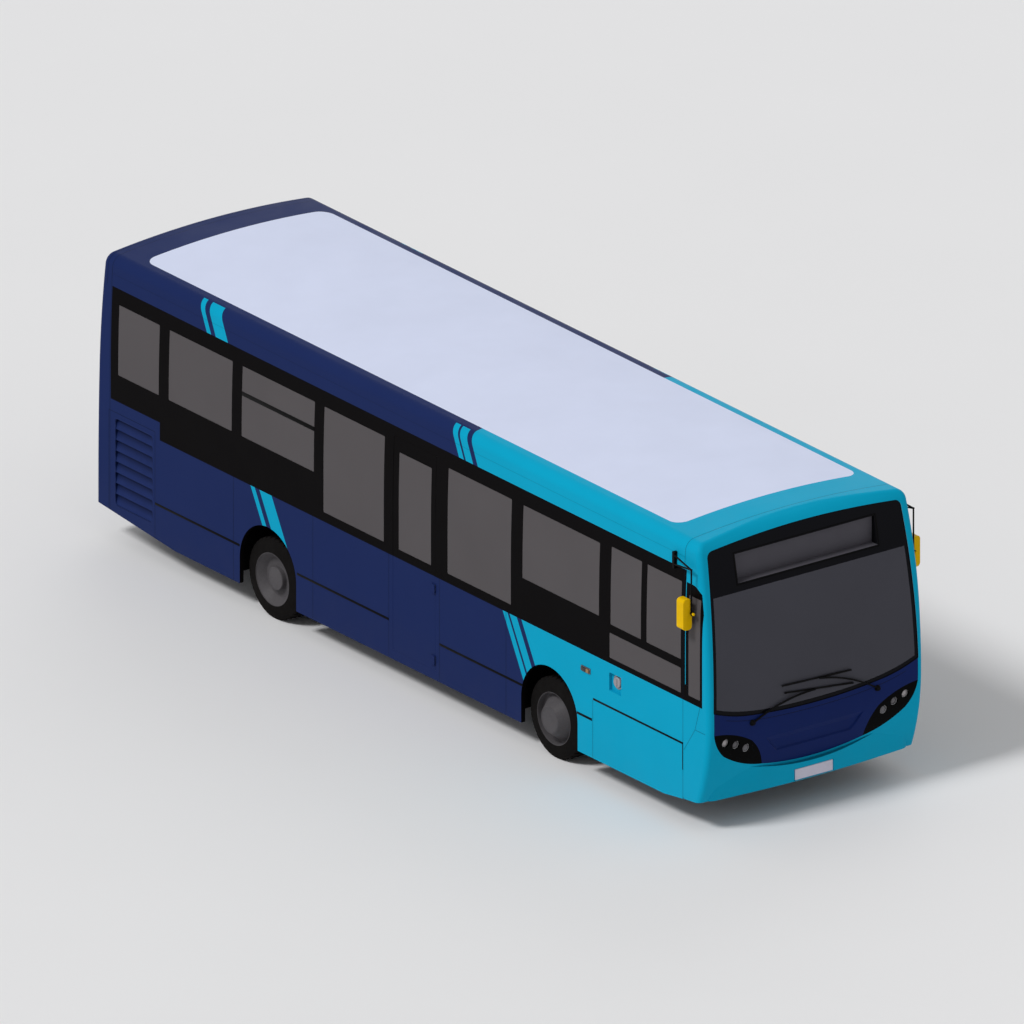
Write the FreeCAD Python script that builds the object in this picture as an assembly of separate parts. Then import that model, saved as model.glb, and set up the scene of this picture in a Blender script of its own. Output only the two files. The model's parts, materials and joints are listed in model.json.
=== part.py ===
# Single-deck city bus, modelled as an assembly of separate pieces.
# Millimetres.  +Z is up, the front faces -Y and the driver's side is -X.  The origin is on the
# ground under the middle of the bounding box.
import FreeCAD
import Part

import math
import os

V = FreeCAD.Vector

# ---------------------------------------------------------------- driving dimensions
LENGTH = 9284.0            # front face to rear face
WIDTH = 2440.0             # over the side panels
HEIGHT = 2852.0            # ground to the crown of the roof
WALL = 45.0                # thickness of side walls, roof and end caps
HALF = WIDTH / 2

REAR_AXLE_Y = 2047.0
FRONT_AXLE_Y = -2217.0
TYRE_R = 391.0
TYRE_W = 225.0
RIM_R = 252.0
RIM_FACE = 127.0           # outer edge of a visible rim, out from the middle of its tyre
WHEEL_X = 1043.0           # middle of an outer tyre
TWIN_STEP = 262.0          # from a rear outer tyre to its inner twin
KINGPIN_X = 885.0

SKIRT_Z = 228.0            # lower edge of the side panels
BAND_TOP_Z = 2508.0        # top of the window band
FRONT_SEAM_Y = -4240.0     # where the side panels and roof meet the front moulding
REAR_SEAM_Y = 4440.0       # where the side panels meet the rear moulding
REAR_ROOF_Y = 4506.0       # where the roof meets it

LEAN_Z = 1700.0            # the side starts to lean in here
LEAN_END_Z = 2688.0
LEAN_R = 16350.0
CANT_R = 110.0             # corner between side and roof
CORNER_R = 52.0            # round of the front and rear corners
HINGE_R = 7.0              # barrels of the outside hinges
ARCH_R = 428.0             # wheel arch opening
ARCH_Z = 485.0             # height of its centre

FRONT_Y = -4632.0              # front face at belly height; the wipers stand in front of it
BELLY_Z = 1070.0               # its most forward height
CHIN_R = 2150.0                # upright curve below it
SCREEN_R = 7000.0              # upright curve of the windscreen
BROW_Z = 2695.0                # the screen turns into the roof from here
BROW_R = 205.0
BROW_END = math.radians(64)
REAR_Y = FRONT_Y + LENGTH
TAIL_Z = 600.0
TAIL_R = 30900.0

FLOOR_Z = 360.0            # top of the low floor
DECK_Z = 660.0             # top of the floor over the rear axle
ENGINE_DECK_Z = 1060.0     # top of the box over the engine
FLOOR_T = 40.0
STEP_1_Y = 1300.0          # low floor to rear deck
STEP_2_Y = 3420.0          # rear deck to engine box

DOORWAY = (-4140.0, -2900.0)       # front and rear jambs of the entrance
DOORWAY_Z = (360.0, 2360.0)
EMERGENCY = (-494.0, 156.0)        # front and rear jambs of the emergency doorway
EMERGENCY_Z = (318.0, 2420.0)

# side windows: rear edge, front edge, foot, head; the third has an opening hopper
WINDOWS = [
    (4326.0, 3701.0, 1670.0, 2362.0),
    (3561.0, 2596.0, 1672.0, 2362.0),
    (2456.0, 1351.0, 1672.0, 2364.0),
    (1216.0, 291.0, 1326.0, 2364.0),
    (-664.0, -1634.0, 1326.0, 2364.0),
]
OFFSIDE_WINDOWS = [
    (-1799.0, -2969.0, 1645.0, 2364.0),
    (-3119.0, -4209.0, 1288.0, 1542.0),
    (-3134.0, -3604.0, 1617.0, 2385.0),
    (-3679.0, -4209.0, 1617.0, 2385.0),
]
NEARSIDE_WINDOWS = [
    (151.0, -524.0, 1326.0, 2364.0),
    (-1799.0, -2760.0, 1645.0, 2364.0),
]
QUARTER_LIGHT = (-4314.0, -4499.0, 1300.0, 2290.0)
DOOR_WINDOW = (76.0, -424.0, 1324.0, 2282.0)


# ---------------------------------------------------------------- small makers
def box(x0, x1, y0, y1, z0, z1):
    low = V(min(x0, x1), min(y0, y1), min(z0, z1))
    return Part.makeBox(abs(x1 - x0), abs(y1 - y0), abs(z1 - z0), low)


def cylinder(start, end, radius):
    start, end = V(*start), V(*end)
    return Part.makeCylinder(radius, (end - start).Length, start, end - start)


def face_of(points):
    corners = [V(*p) for p in points]
    return Part.Face(Part.makePolygon(corners + corners[:1]))


def prism_x(points_yz, x0, x1):
    return face_of([(x0, y, z) for y, z in points_yz]).extrude(V(x1 - x0, 0, 0))


def prism_y(points_xz, y0, y1):
    return face_of([(x, y0, z) for x, z in points_xz]).extrude(V(0, y1 - y0, 0))


def rounded(solid, axis, radius):
    """The solid with its straight edges along axis rounded."""
    direction = V(*axis)
    picked = []
    for edge in solid.Edges:
        run = edge.Vertexes[-1].Point - edge.Vertexes[0].Point
        if run.Length > 0 and abs(run.dot(direction)) > 0.999 * run.Length:
            picked.append(edge)
    return solid.makeFillet(radius, picked)


def line(a, b):
    return Part.makeLine(V(*a), V(*b))


def arc(a, b, c):
    return Part.Arc(V(*a), V(*b), V(*c)).toShape()


def face_of_edges(edges):
    return Part.Face(Part.Wire(Part.__sortEdges__(edges)))


def fuse(shapes):
    shapes = list(shapes)
    return shapes[0] if len(shapes) == 1 else shapes[0].multiFuse(shapes[1:])


def revolved(points_xr, centre):
    """A ring about an axle: (x, radius) points turned about a line along X through centre."""
    x, y, z = centre
    face = face_of([(x + a, y, z + r) for a, r in points_xr])
    return face.revolve(V(x, y, z), V(1, 0, 0), 360)


nodes = {}


def keep(name, *shapes):
    """Files solids under a node's name."""
    for shape in shapes:
        nodes.setdefault(name, []).extend(shape.Solids)


# ---------------------------------------------------------------- the body's outer form
def half_section(grow):
    """Side lean and cant of the cross-section as (x, z) points, and the crown's height."""
    side = HALF + grow
    cant = CANT_R + grow
    tilt = math.asin((LEAN_END_Z - LEAN_Z) / LEAN_R)
    lean = [(side - LEAN_R * (1 - math.cos(a)), LEAN_Z + LEAN_R * math.sin(a))
            for a in (0.0, tilt / 2, tilt)]
    centre_x = lean[2][0] - cant * math.cos(tilt)
    centre_z = LEAN_END_Z - cant * math.sin(tilt)
    crown = HEIGHT + grow
    # the roof's arc runs through the crown and meets the cant arc in line
    drop = crown - centre_z
    roof_r = (centre_x ** 2 + drop ** 2 - cant ** 2) / (2 * (drop - cant))
    end = math.atan2(centre_z - (crown - roof_r), centre_x)
    corner = [(centre_x + cant * math.cos(a), centre_z + cant * math.sin(a))
              for a in ((tilt + end) / 2, end)]
    return lean, corner, crown


def long_block(grow):
    """The cross-section as a bar along Y."""
    lean, corner, crown = half_section(grow)
    y0 = -LENGTH / 2 - 200
    foot = 100.0

    def at(p, sign):
        return (sign * p[0], y0, p[1])

    edges = [line(at((HALF + grow, foot), 1), at((HALF + grow, foot), -1)),
             arc(at(corner[1], 1), (0, y0, crown), at(corner[1], -1))]
    for sign in (1, -1):
        edges += [line(at((HALF + grow, foot), sign), at(lean[0], sign)),
                  arc(at(lean[0], sign), at(lean[1], sign), at(lean[2], sign)),
                  arc(at(lean[2], sign), at(corner[0], sign), at(corner[1], sign))]
    return face_of_edges(edges).extrude(V(0, LENGTH + 400, 0))


def end_block(grow):
    """The side view's outline across the width: raked screen, brow and nearly upright tail."""
    x0 = -1500.0
    front = FRONT_Y - grow
    rear = REAR_Y + grow
    low, high = 100.0, 3100.0
    tilt = math.asin((BROW_Z - BELLY_Z) / SCREEN_R)
    tail_tilt = math.asin((high - TAIL_Z) / TAIL_R)

    def screen(angle):
        r = SCREEN_R + grow
        return (x0, front + r * (1 - math.cos(angle)), BELLY_Z + r * math.sin(angle))

    def brow(angle):
        r = BROW_R + grow
        start = screen(tilt)
        return (x0, start[1] + r * (math.cos(tilt) - math.cos(angle)),
                start[2] + r * (math.sin(angle) - math.sin(tilt)))

    def tail(angle):
        return (x0, rear - TAIL_R * (1 - math.cos(angle)), TAIL_Z + TAIL_R * math.sin(angle))

    tip = brow(BROW_END)
    above = (x0, tip[1] + (high - tip[2]) * math.tan(BROW_END), high)
    chin_tilt = math.asin((BELLY_Z - low) / (CHIN_R + grow))

    def chin(angle):
        r = CHIN_R + grow
        return (x0, front + r * (1 - math.cos(angle)), BELLY_Z - r * math.sin(angle))

    edges = [arc(chin(chin_tilt), chin(chin_tilt / 2), chin(0)),
             arc(chin(0), screen(tilt / 2), screen(tilt)),
             arc(screen(tilt), brow((tilt + BROW_END) / 2), tip),
             line(tip, above),
             line(above, tail(tail_tilt)),
             arc(tail(tail_tilt), tail(tail_tilt / 2), (x0, rear, TAIL_Z)),
             line((x0, rear, TAIL_Z), (x0, rear, low)),
             line((x0, rear, low), chin(chin_tilt))]
    return face_of_edges(edges).extrude(V(3000, 0, 0))


def end_edges(solid):
    """The edges between an end face and the sides or roof."""
    picked = []
    for edge in solid.Edges:
        span = edge.BoundBox
        in_belly = span.ZMax < 101
        across = span.YLength < 1e-3 and span.ZLength < 1e-3
        if not in_belly and not across and span.YLength < 5000:
            picked.append(edge)
    return picked


def body_block(grow=0.0):
    """The whole body as one solid, grown outwards or, if negative, shrunk."""
    solid = long_block(grow).common(end_block(grow))
    return solid.makeFillet(max(CORNER_R + grow, 25), end_edges(solid))


outer = body_block()
inner = body_block(-WALL)
glass_block = body_block(-4).cut(body_block(-10))
shell = outer.cut(inner)

# the lower edge of the panels: level, rising behind the rear wheels and at the front corners
under = prism_x([(-4800, 0), (-4800, 318), (-4560, 308), (-4400, 284), (-4150, 255), (-3950, SKIRT_Z),
                 (3450, SKIRT_Z), (4600, 338), (4800, 345), (4800, 0)], -1300, 1300)
shell = shell.cut(under)

side_zone = box(-1400, 1400, FRONT_SEAM_Y, REAR_SEAM_Y, 0, BAND_TOP_Z)
roof_zone = box(-1400, 1400, FRONT_SEAM_Y, REAR_ROOF_Y, BAND_TOP_Z, 3000)
front_zone = box(-1400, 1400, -4900, FRONT_SEAM_Y, 0, 3000)


def wheel_arch(y, radius=ARCH_R, x0=-1400, x1=1400):
    round_top = cylinder((x0, y, ARCH_Z), (x1, y, ARCH_Z), radius)
    return round_top.fuse(box(x0, x1, y - radius, y + radius, 0, ARCH_Z)).removeSplitter()


def window_block(window, side, radius=14.0, x_far=1400.0, x_near=1000.0):
    """A block through one wall that cuts or fills a window; side is -1 or 1."""
    y0, y1, z0, z1 = window
    return rounded(box(side * x_near, side * x_far, y0, y1, z0, z1), (1, 0, 0), radius)


# ---------------------------------------------------------------- entrance door layout
DOOR_SHAFT_X = 1096.0        # line of the shafts and of the leaves' pivots
SHAFT_SET = 70.0             # from a shaft to the near edge of its leaf
JAMB_GAP = 15.0
MEET_GAP = 6.0               # half the gap where the leaves meet
SHAFT_R = 18.0
LEAF_Z = (396.0, 2342.0)
ARM_LOW_Z = (368.0, 386.0)   # the arms pass under and over the leaf
ARM_HIGH_Z = (2354.0, 2376.0)
HEADER_Z = (2390.0, 2415.0)  # shelf that holds the tops of the shafts
SHAFT_PIN_R = 12.0
RUNNING = 0.05               # radial clearance of a pin in its bore


def door_geometry(end):
    """Places along Y of one leaf: shaft, pivot, and the leaf's near and far edges."""
    y0, y1 = DOORWAY
    middle = (y0 + y1) / 2
    near = y0 + JAMB_GAP if end < 0 else y1 - JAMB_GAP
    far = middle + end * MEET_GAP
    shaft = near + end * SHAFT_SET
    pivot = (near + far) / 2
    return shaft, pivot, near, far


# ---------------------------------------------------------------- side walls, roof and glass
def side_wall(side):
    wall = shell.common(side_zone).common(box(0, side * 1400, -5000, 5000, 0, 3000))
    own = OFFSIDE_WINDOWS if side < 0 else NEARSIDE_WINDOWS
    holes = [window_block(w, side) for w in WINDOWS + own]
    holes += [wheel_arch(y) for y in (REAR_AXLE_Y, FRONT_AXLE_Y)]
    return wall.cut(holes)


GRILLE = (3794.0, 4364.0, 390.0, 1250.0)      # opening of the radiator grille, driver's side
GRILLE_RIM = 8.0
GRILLE_SLATS = 8
FILLER = (-3124.0, -3304.0, 970.0, 1150.0)    # recess of the fuel filler, driver's side
FILLER_DEPTH = 32.0


def glazing(side):
    own = OFFSIDE_WINDOWS if side < 0 else NEARSIDE_WINDOWS
    panes = [window_block(w, side).common(glass_block) for w in WINDOWS + own]
    panes.append(window_block(QUARTER_LIGHT, side).common(glass_block))
    return panes


def make_sides():
    y0, y1, z0, z1 = GRILLE
    grille_hole = rounded(box(-1400, -1000, y0, y1, z0, z1), (1, 0, 0), 40)
    doorway = box(-1400, -1000, *EMERGENCY, *EMERGENCY_Z)
    filler = window_block(FILLER, -1, 12.0, HALF + 100, HALF - FILLER_DEPTH)
    right = side_wall(-1).cut([grille_hole, doorway, filler])
    keep("side_right", right)
    entrance = box(1000, 1400, *DOORWAY, *DOORWAY_Z)
    header = box(DOOR_SHAFT_X - 30, HALF - WALL, DOORWAY[0] - 95, DOORWAY[1] + 95, *HEADER_Z)
    left = side_wall(1).cut(entrance).fuse(header)
    for end in (-1, 1):
        shaft = door_geometry(end)[0]
        left = left.cut(cylinder((DOOR_SHAFT_X, shaft, 2300), (DOOR_SHAFT_X, shaft, 2500), SHAFT_PIN_R + RUNNING))
    keep("side_left", left)
    for side in (-1, 1):
        keep("saloon_glass", *glazing(side))
    rim = GRILLE_RIM
    frame = grille_hole.common(shell)
    slot_block = rounded(box(-1400, -1000, y0 + rim, y1 - rim, z0 + rim, z1 - rim), (1, 0, 0), 32)
    slats = [frame.cut(slot_block)]
    pitch = (z1 - z0 - 2 * rim) / GRILLE_SLATS
    face = -HALF + 5
    # the slats end halfway into the rim
    ends = rim / 2
    inside = rounded(box(-1400, -1000, y0 + ends, y1 - ends, z0 + ends, z1 - ends), (1, 0, 0), 36)
    for i in range(GRILLE_SLATS):
        z = z0 + rim - 2 + pitch * i
        # each slat leans in and reaches up behind the one above
        slat = prism_y([(face, z + 4), (face + 8, z), (face + 37, z + pitch + 6), (face + 30, z + pitch + 10)],
                       y0, y1)
        slats.append(slat.common(inside))
    keep("side_grille", fuse(slats))


def make_roof():
    keep("roof", shell.common(roof_zone))


# ---------------------------------------------------------------- front
# half of the windscreen's outline, from the middle of its foot round to the middle of its head: (x, z)
SCREEN_FOOT = [(0.0, 1049.0), (800.0, 1101.0), (1000.0, 1146.0), (1164.0, 1204.0)]
SCREEN_SIDE = [(1164.0, 1204.0), (1143.0, 1850.0), (1101.0, 2640.0)]
SCREEN_CORNER = [(1101.0, 2640.0), (1084.0, 2691.0), (1040.0, 2713.0)]
SCREEN_HEAD_Z = 2762.0
DISPLAY = (806.0, 2345.0, 2640.0)     # half width, foot and head of the destination display
DISPLAY_BACK_Y = -4400.0
DISPLAY_WALL = 14.0
# half of the blue panel's lower edge: (x, z)
SMILE_MID_Z = 504.0
SMILE = [(573.0, 563.0), (850.0, 645.0), (1033.0, 750.0)]
SMILE_END = [(1033.0, 750.0), (1118.0, 862.0), (1158.0, 988.0)]
PANEL_TOP_Z = 1204.0


def drawn_in(points, inset):
    """Points of a half outline moved towards the middle of the outline."""
    moved = []
    for x, z in points:
        up = inset if z < 2000 else -inset
        moved.append((max(x - inset, 0.0), z + up))
    return moved


def screen_block(inset=0.0):
    """The windscreen's outline as a bar along Y, drawn in by inset."""
    y = -4900
    foot = drawn_in(SCREEN_FOOT, inset)
    side = [foot[3], (SCREEN_SIDE[1][0] - inset, SCREEN_SIDE[1][1]), drawn_in(SCREEN_SIDE, inset)[2]]
    corner = drawn_in(SCREEN_CORNER, inset)
    edges = [arc((-foot[1][0], y, foot[1][1]), (0, y, foot[0][1]), (foot[1][0], y, foot[1][1])),
             arc((-corner[2][0], y, corner[2][1]), (0, y, SCREEN_HEAD_Z - inset),
                 (corner[2][0], y, corner[2][1]))]
    for sign in (-1, 1):
        for run in (foot[1:], side, corner):
            edges.append(arc(*[(sign * x, y, z) for x, z in run]))
    return face_of_edges(edges).extrude(V(0, 900, 0))


def smile_block(drop=0.0):
    """Everything above the blue panel's lower edge, as a bar along Y; drop lowers that edge."""
    y = -4900
    side_x = SMILE_END[2][0] + drop / 2
    first = (SMILE[0][0], y, SMILE[0][1] - drop)
    edges = [arc((-first[0], y, first[2]), (0, y, SMILE_MID_Z - drop), first)]
    for sign in (-1, 1):
        for run in (SMILE, SMILE_END):
            edges.append(arc(*[(sign * (x + drop / 2 * (x > first[0])), y, z - drop) for x, z in run]))
        edges.append(line((sign * side_x, y, SMILE_END[2][1] - drop), (sign * side_x, y, 1400)))
    edges.append(line((-side_x, y, 1400), (side_x, y, 1400)))
    return face_of_edges(edges).extrude(V(0, 500, 0))


# outline of a lamp cluster beside the middle: (x, z)
LAMP_TOP = [(1190.0, 989.0), (925.0, 942.0), (720.0, 842.0), (636.0, 735.0), (573.0, 563.0)]
LAMPS = [(1021.0, 882.0), (899.0, 836.0), (781.0, 779.0)]     # centres of its wells (x, z)
LAMP_R = 41.0
LAMP_WELL_Y = -4586.0                              # bottom of the wells
# the scoop in the blue panel: half width at its top, top, half width at its foot, foot; outside and inside
SCOOP = [(-4650.0, 615.0, 902.0, 497.0, 598.0), (-4570.0, 455.0, 715.0, 390.0, 689.0)]
SCOOP_DEPTH = 15.0
# the bumper's lip in plan, half of it: (x, y)
LIP = [(0.0, -4600.0), (1040.0, -4536.0), (1120.0, -4500.0), (1160.0, -4420.0)]
LIP_DROP = 26.0                                    # the lip starts this far under the blue panel
BUMPER_R = 70.0                                    # round of its lower edge at the sides
PLATE_FACE = (224.0, 318.0, 428.0, -4590.0)        # half width, foot, head, and its flat face


def lamp_block(side):
    y = -4900
    pts = [(side * x, y, z) for x, z in LAMP_TOP]
    edges = [arc(*pts[:3]), arc(*pts[2:]),
             line(pts[4], (pts[4][0], y, 480)), line((pts[4][0], y, 480), (side * 1190, y, 480)),
             line((side * 1190, y, 480), pts[0])]
    cluster = face_of_edges(edges).extrude(V(0, 500, 0)).common(smile_block())
    wells = [cylinder((side * x, y, z), (side * x, LAMP_WELL_Y, z), LAMP_R) for x, z in LAMPS]
    return cluster, wells


def scoop_block():
    """The shallow scoop across the blue panel, with sloping sides."""
    wires = []
    for y, top_x, top_z, foot_x, foot_z in SCOOP:
        corners = [V(-top_x, y, top_z), V(top_x, y, top_z), V(foot_x, y, foot_z), V(-foot_x, y, foot_z)]
        wires.append(Part.makePolygon(corners + corners[:1]))
    return Part.makeLoft(wires, True, True).cut(body_block(-SCOOP_DEPTH))


def bumper_lip():
    """The bumper's bulge: an even outline in plan, cut off under the blue panel and at its foot."""
    middle, near, turn, end = LIP
    z = 300.0
    edges = [arc((-near[0], near[1], z), (middle[0], middle[1], z), (near[0], near[1], z)),
             line((-end[0], end[1], z), (end[0], end[1], z))]
    for sign in (-1, 1):
        edges.append(arc(*[(sign * x, y, z) for x, y in (near, turn, end)]))
    bulge = face_of_edges(edges).extrude(V(0, 0, 700))
    return bulge.cut([smile_block(LIP_DROP), inner, under])


def low_edge(side):
    """What is taken off to round the bumper's lower edge on one side."""
    x, z, r = side * (HALF - BUMPER_R), SKIRT_Z + BUMPER_R, BUMPER_R
    corner = box(x, side * 1400, -4900, FRONT_SEAM_Y, z - 400, z)
    return corner.cut(cylinder((x, -4901, z), (x, FRONT_SEAM_Y + 1, z), r))


def make_front():
    cap = shell.common(front_zone)
    opening = screen_block()
    panel_zone = smile_block().common(box(-1400, 1400, -4900, -4400, 0, PANEL_TOP_Z)).cut(opening)
    quarter = [window_block(QUARTER_LIGHT, side) for side in (-1, 1)]
    panel = cap.common(panel_zone)
    rest = cap.cut([opening, panel_zone] + quarter)
    split = box(-1400, 1400, -4900, -4000, 0, 1000)
    keep("front_cap", rest.cut(split))
    bumper = rest.common(split).fuse(bumper_lip())
    low_edges = [low_edge(side) for side in (-1, 1)]
    bumper = bumper.cut(low_edges)
    half, foot, head, y = PLATE_FACE
    keep("front_bumper", bumper.cut(box(-half, half, -4900, y, foot, head)))
    clusters = [lamp_block(side) for side in (-1, 1)]
    body = panel.cut([cluster for cluster, wells in clusters] + [scoop_block()])
    keep("front_panel", max(body.Solids, key=lambda s: s.Volume))
    for cluster, wells in clusters:
        keep("lamps", panel.common(cluster).cut(wells))
    screen = screen_block(2).common(body_block(-6).cut(body_block(-14))).common(front_zone)
    half, foot, head = DISPLAY
    hole = box(-half, half, -4900, -4000, foot, head)
    keep("windscreen", screen.cut(hole))
    wall = DISPLAY_WALL
    tray = box(-half, half, -4700, DISPLAY_BACK_Y, foot, head).common(body_block(-6))
    hollow = box(-half + wall, half - wall, -4700, DISPLAY_BACK_Y - 18, foot + wall, head - wall)
    keep("destination_box", tray.cut(hollow))


# ---------------------------------------------------------------- rear
REAR_WINDOW = (980.0, 1640.0, 2380.0)       # half width, foot, head
ENGINE_LID = (760.0, 560.0, 1400.0)         # half width, foot, head of its hole
LID_HINGE = (4654.0, 1400.0)                # hinge line of the lid: y, z
LAMP_COLUMN = (1010.0, 1130.0, 640.0, 1330.0)     # |x| from, to, z from, to


REAR_BUMPER_Z = 548.0       # top of the rear bumper moulding


def make_rear():
    cap = shell.cut([side_zone, roof_zone, front_zone])
    half, foot, head = REAR_WINDOW
    window = rounded(box(-half, half, 4000, 4900, foot, head), (0, 1, 0), 60)
    lid_half, lid_foot, lid_head = ENGINE_LID
    lid_hole = rounded(box(-lid_half, lid_half, 4000, 4900, lid_foot, lid_head), (0, 1, 0), 40)
    x0, x1, z0, z1 = LAMP_COLUMN
    lamp_holes = [rounded(box(s * x0, s * x1, 4500, 4900, z0, z1), (0, 1, 0), 20) for s in (-1, 1)]
    low = box(-1400, 1400, REAR_SEAM_Y, 4900, 0, REAR_BUMPER_Z)
    keep("rear_cap", cap.cut([window, lid_hole, low] + lamp_holes))
    keep("rear_bumper", cap.common(low))
    keep("saloon_glass", rounded(box(-half, half, 4000, 4900, foot, head), (0, 1, 0), 60).common(glass_block))
    gap = 6.0
    lid = rounded(box(-lid_half + gap, lid_half - gap, 4000, 4900, lid_foot + gap, lid_head - gap),
                  (0, 1, 0), 34).common(body_block(-2).cut(body_block(-40)))
    y, z = LID_HINGE
    for x in (-560, 0, 560):
        strap = prism_x([(y - 40, z - 64), (y - 8, z - 64), (y + 4, z - 5), (y - 3, z - 4), (y - 12, z - 16),
                         (y - 40, z - 16)], x - 45, x + 45)
        lid = lid.fuse([strap, cylinder((x - 45, y, z), (x + 45, y, z), HINGE_R)])
    keep("engine_lid", lid)
    for hole in lamp_holes:
        keep("lamps", hole.common(outer.cut(body_block(-30))))


# ---------------------------------------------------------------- emergency door
DOOR_HINGE = (-1232.0, -489.0)         # hinge line: x, y
DOOR_HINGE_Z = (420.0, 1120.0)         # middles of the barrels


def make_emergency_door():
    y0, y1 = EMERGENCY
    z0, z1 = EMERGENCY_Z
    gap = 7.0
    skin = body_block(-1).cut(body_block(-40))
    blank = box(-1400, -1000, y0 + gap, y1 - gap, z0 + gap, z1 - gap)
    door = skin.common(blank).cut(window_block(DOOR_WINDOW, -1))
    x, y = DOOR_HINGE
    for z in DOOR_HINGE_Z:
        strap = box(x - 3, 2 - HALF, y, y + 50, z - 45, z + 45)
        door = door.fuse([strap, cylinder((x, y, z - 45), (x, y, z + 45), HINGE_R)])
    keep("emergency_door", door)
    keep("emergency_door_glass", window_block(DOOR_WINDOW, -1).common(glass_block))


# ---------------------------------------------------------------- entrance doors
def make_entrance_door(end, name):
    """One leaf with its shaft and arms; end is -1 for the front leaf, 1 for the rear."""
    shaft, pivot, near, far = door_geometry(end)
    x = DOOR_SHAFT_X
    body = cylinder((x, shaft, ARM_LOW_Z[0]), (x, shaft, ARM_HIGH_Z[1]), SHAFT_R)
    pin = cylinder((x, shaft, FLOOR_Z - FLOOR_T + 5), (x, shaft, HEADER_Z[1]), SHAFT_PIN_R)
    body = body.fuse(pin)
    pin_r = 8.0
    for z0, z1 in (ARM_LOW_Z, ARM_HIGH_Z):
        arm = box(x - 15, x + 15, shaft, pivot, z0, z1).fuse(cylinder((x, pivot, z0), (x, pivot, z1), 20))
        body = body.fuse(arm).cut(cylinder((x, pivot, z0 - 5), (x, pivot, z1 + 5), pin_r + RUNNING))
    keep(name + "_arm", body)
    skin = body_block(-5).cut(body_block(-38))
    leaf = skin.common(box(1000, 1400, near, far, *LEAF_Z))
    rim = 62.0
    pane = (min(near, far) + rim, max(near, far) - rim, LEAF_Z[0] + 150, LEAF_Z[1] - 90)
    window = window_block(pane, 1, 30.0)
    leaf = leaf.cut(window)
    for z0, z1, tip in ((LEAF_Z[0], LEAF_Z[0] + 14, ARM_LOW_Z[0]), (LEAF_Z[1] - 14, LEAF_Z[1], ARM_HIGH_Z[1])):
        lug = box(x - 22, HALF - 30, pivot - 22, pivot + 22, z0, z1)
        leaf = leaf.fuse(lug).fuse(cylinder((x, pivot, z0), (x, pivot, tip), pin_r))
    keep(name + "_leaf", leaf)
    keep(name + "_glass", window.common(body_block(-8).cut(body_block(-14))))


# ---------------------------------------------------------------- floor and chassis
def arch_box(y, inner_x, half, top):
    """The inner face of a wheel box, as a block."""
    x1 = HALF - WALL
    blocks = []
    for sign in (-1, 1):
        blocks.append(box(sign * inner_x, sign * x1, y - half, y + half, 0, top))
    return blocks


WHEEL_BOXES = [(REAR_AXLE_Y, 620.0, 460.0, 935.0), (FRONT_AXLE_Y, 600.0, 490.0, 935.0)]
LINER_T = 8.0
AXLE_SLOT = 84.0           # half width of the slot that the axle passes through


def make_floor():
    side_x = HALF - WALL
    cutters = []
    for y, inner_x, half, top in WHEEL_BOXES:
        cutters += arch_box(y, inner_x - LINER_T, half + LINER_T, top + LINER_T)
    t = FLOOR_T
    low = box(-side_x, side_x, -4440, STEP_1_Y, FLOOR_Z - t, FLOOR_Z).common(inner).cut(cutters)
    for end in (-1, 1):
        shaft = door_geometry(end)[0]
        low = low.cut(cylinder((DOOR_SHAFT_X, shaft, 300), (DOOR_SHAFT_X, shaft, 500), SHAFT_PIN_R + RUNNING))
    keep("floor_low", low)
    run = [(STEP_1_Y, FLOOR_Z - t), (STEP_1_Y, DECK_Z), (STEP_2_Y, DECK_Z), (STEP_2_Y, ENGINE_DECK_Z),
           (4560, ENGINE_DECK_Z), (4560, ENGINE_DECK_Z - t), (STEP_2_Y + t, ENGINE_DECK_Z - t),
           (STEP_2_Y + t, DECK_Z - t), (STEP_1_Y + t, DECK_Z - t), (STEP_1_Y + t, FLOOR_Z - t)]
    keep("floor_rear", prism_x(run, -side_x, side_x).common(inner).cut(cutters))
    for y, inner_x, half, top in WHEEL_BOXES:
        outside = arch_box(y, inner_x - LINER_T, half + LINER_T, top + LINER_T)
        inside = arch_box(y, inner_x, half, top)
        for big, small in zip(outside, inside):
            liner = big.cut(small).common(box(-1400, 1400, -5000, 5000, 325, 1000))
            liner = liner.cut(wheel_arch(y, AXLE_SLOT, -1000, 1000).translated(V(0, 0, -ARCH_Z + TYRE_R)))
            keep("wheel_boxes", liner)


RAIL_X = (400.0, 460.0)
RAIL_PATH = [(-4400, 250), (-4400, 318), (1460, 318), (1640, 616), (4380, 616), (4380, 520), (2500, 520),
             (1720, 540), (1520, 250), (-1850, 250), (-1890, 292), (-2460, 292), (-2540, 250)]
LOW_CROSS_Y = (-4330, -3300, -1500, -400, 700)       # crossmembers between the rails
HIGH_CROSS_Y = (1720, 2700, 4330)
OUTRIGGER_Y = (-3300, -1500, -400, 700)
TOW_EYE_Y = -4390.0
TOW_EYE_Z = 287.0
TOW_EYE_R = 16.0


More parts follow.
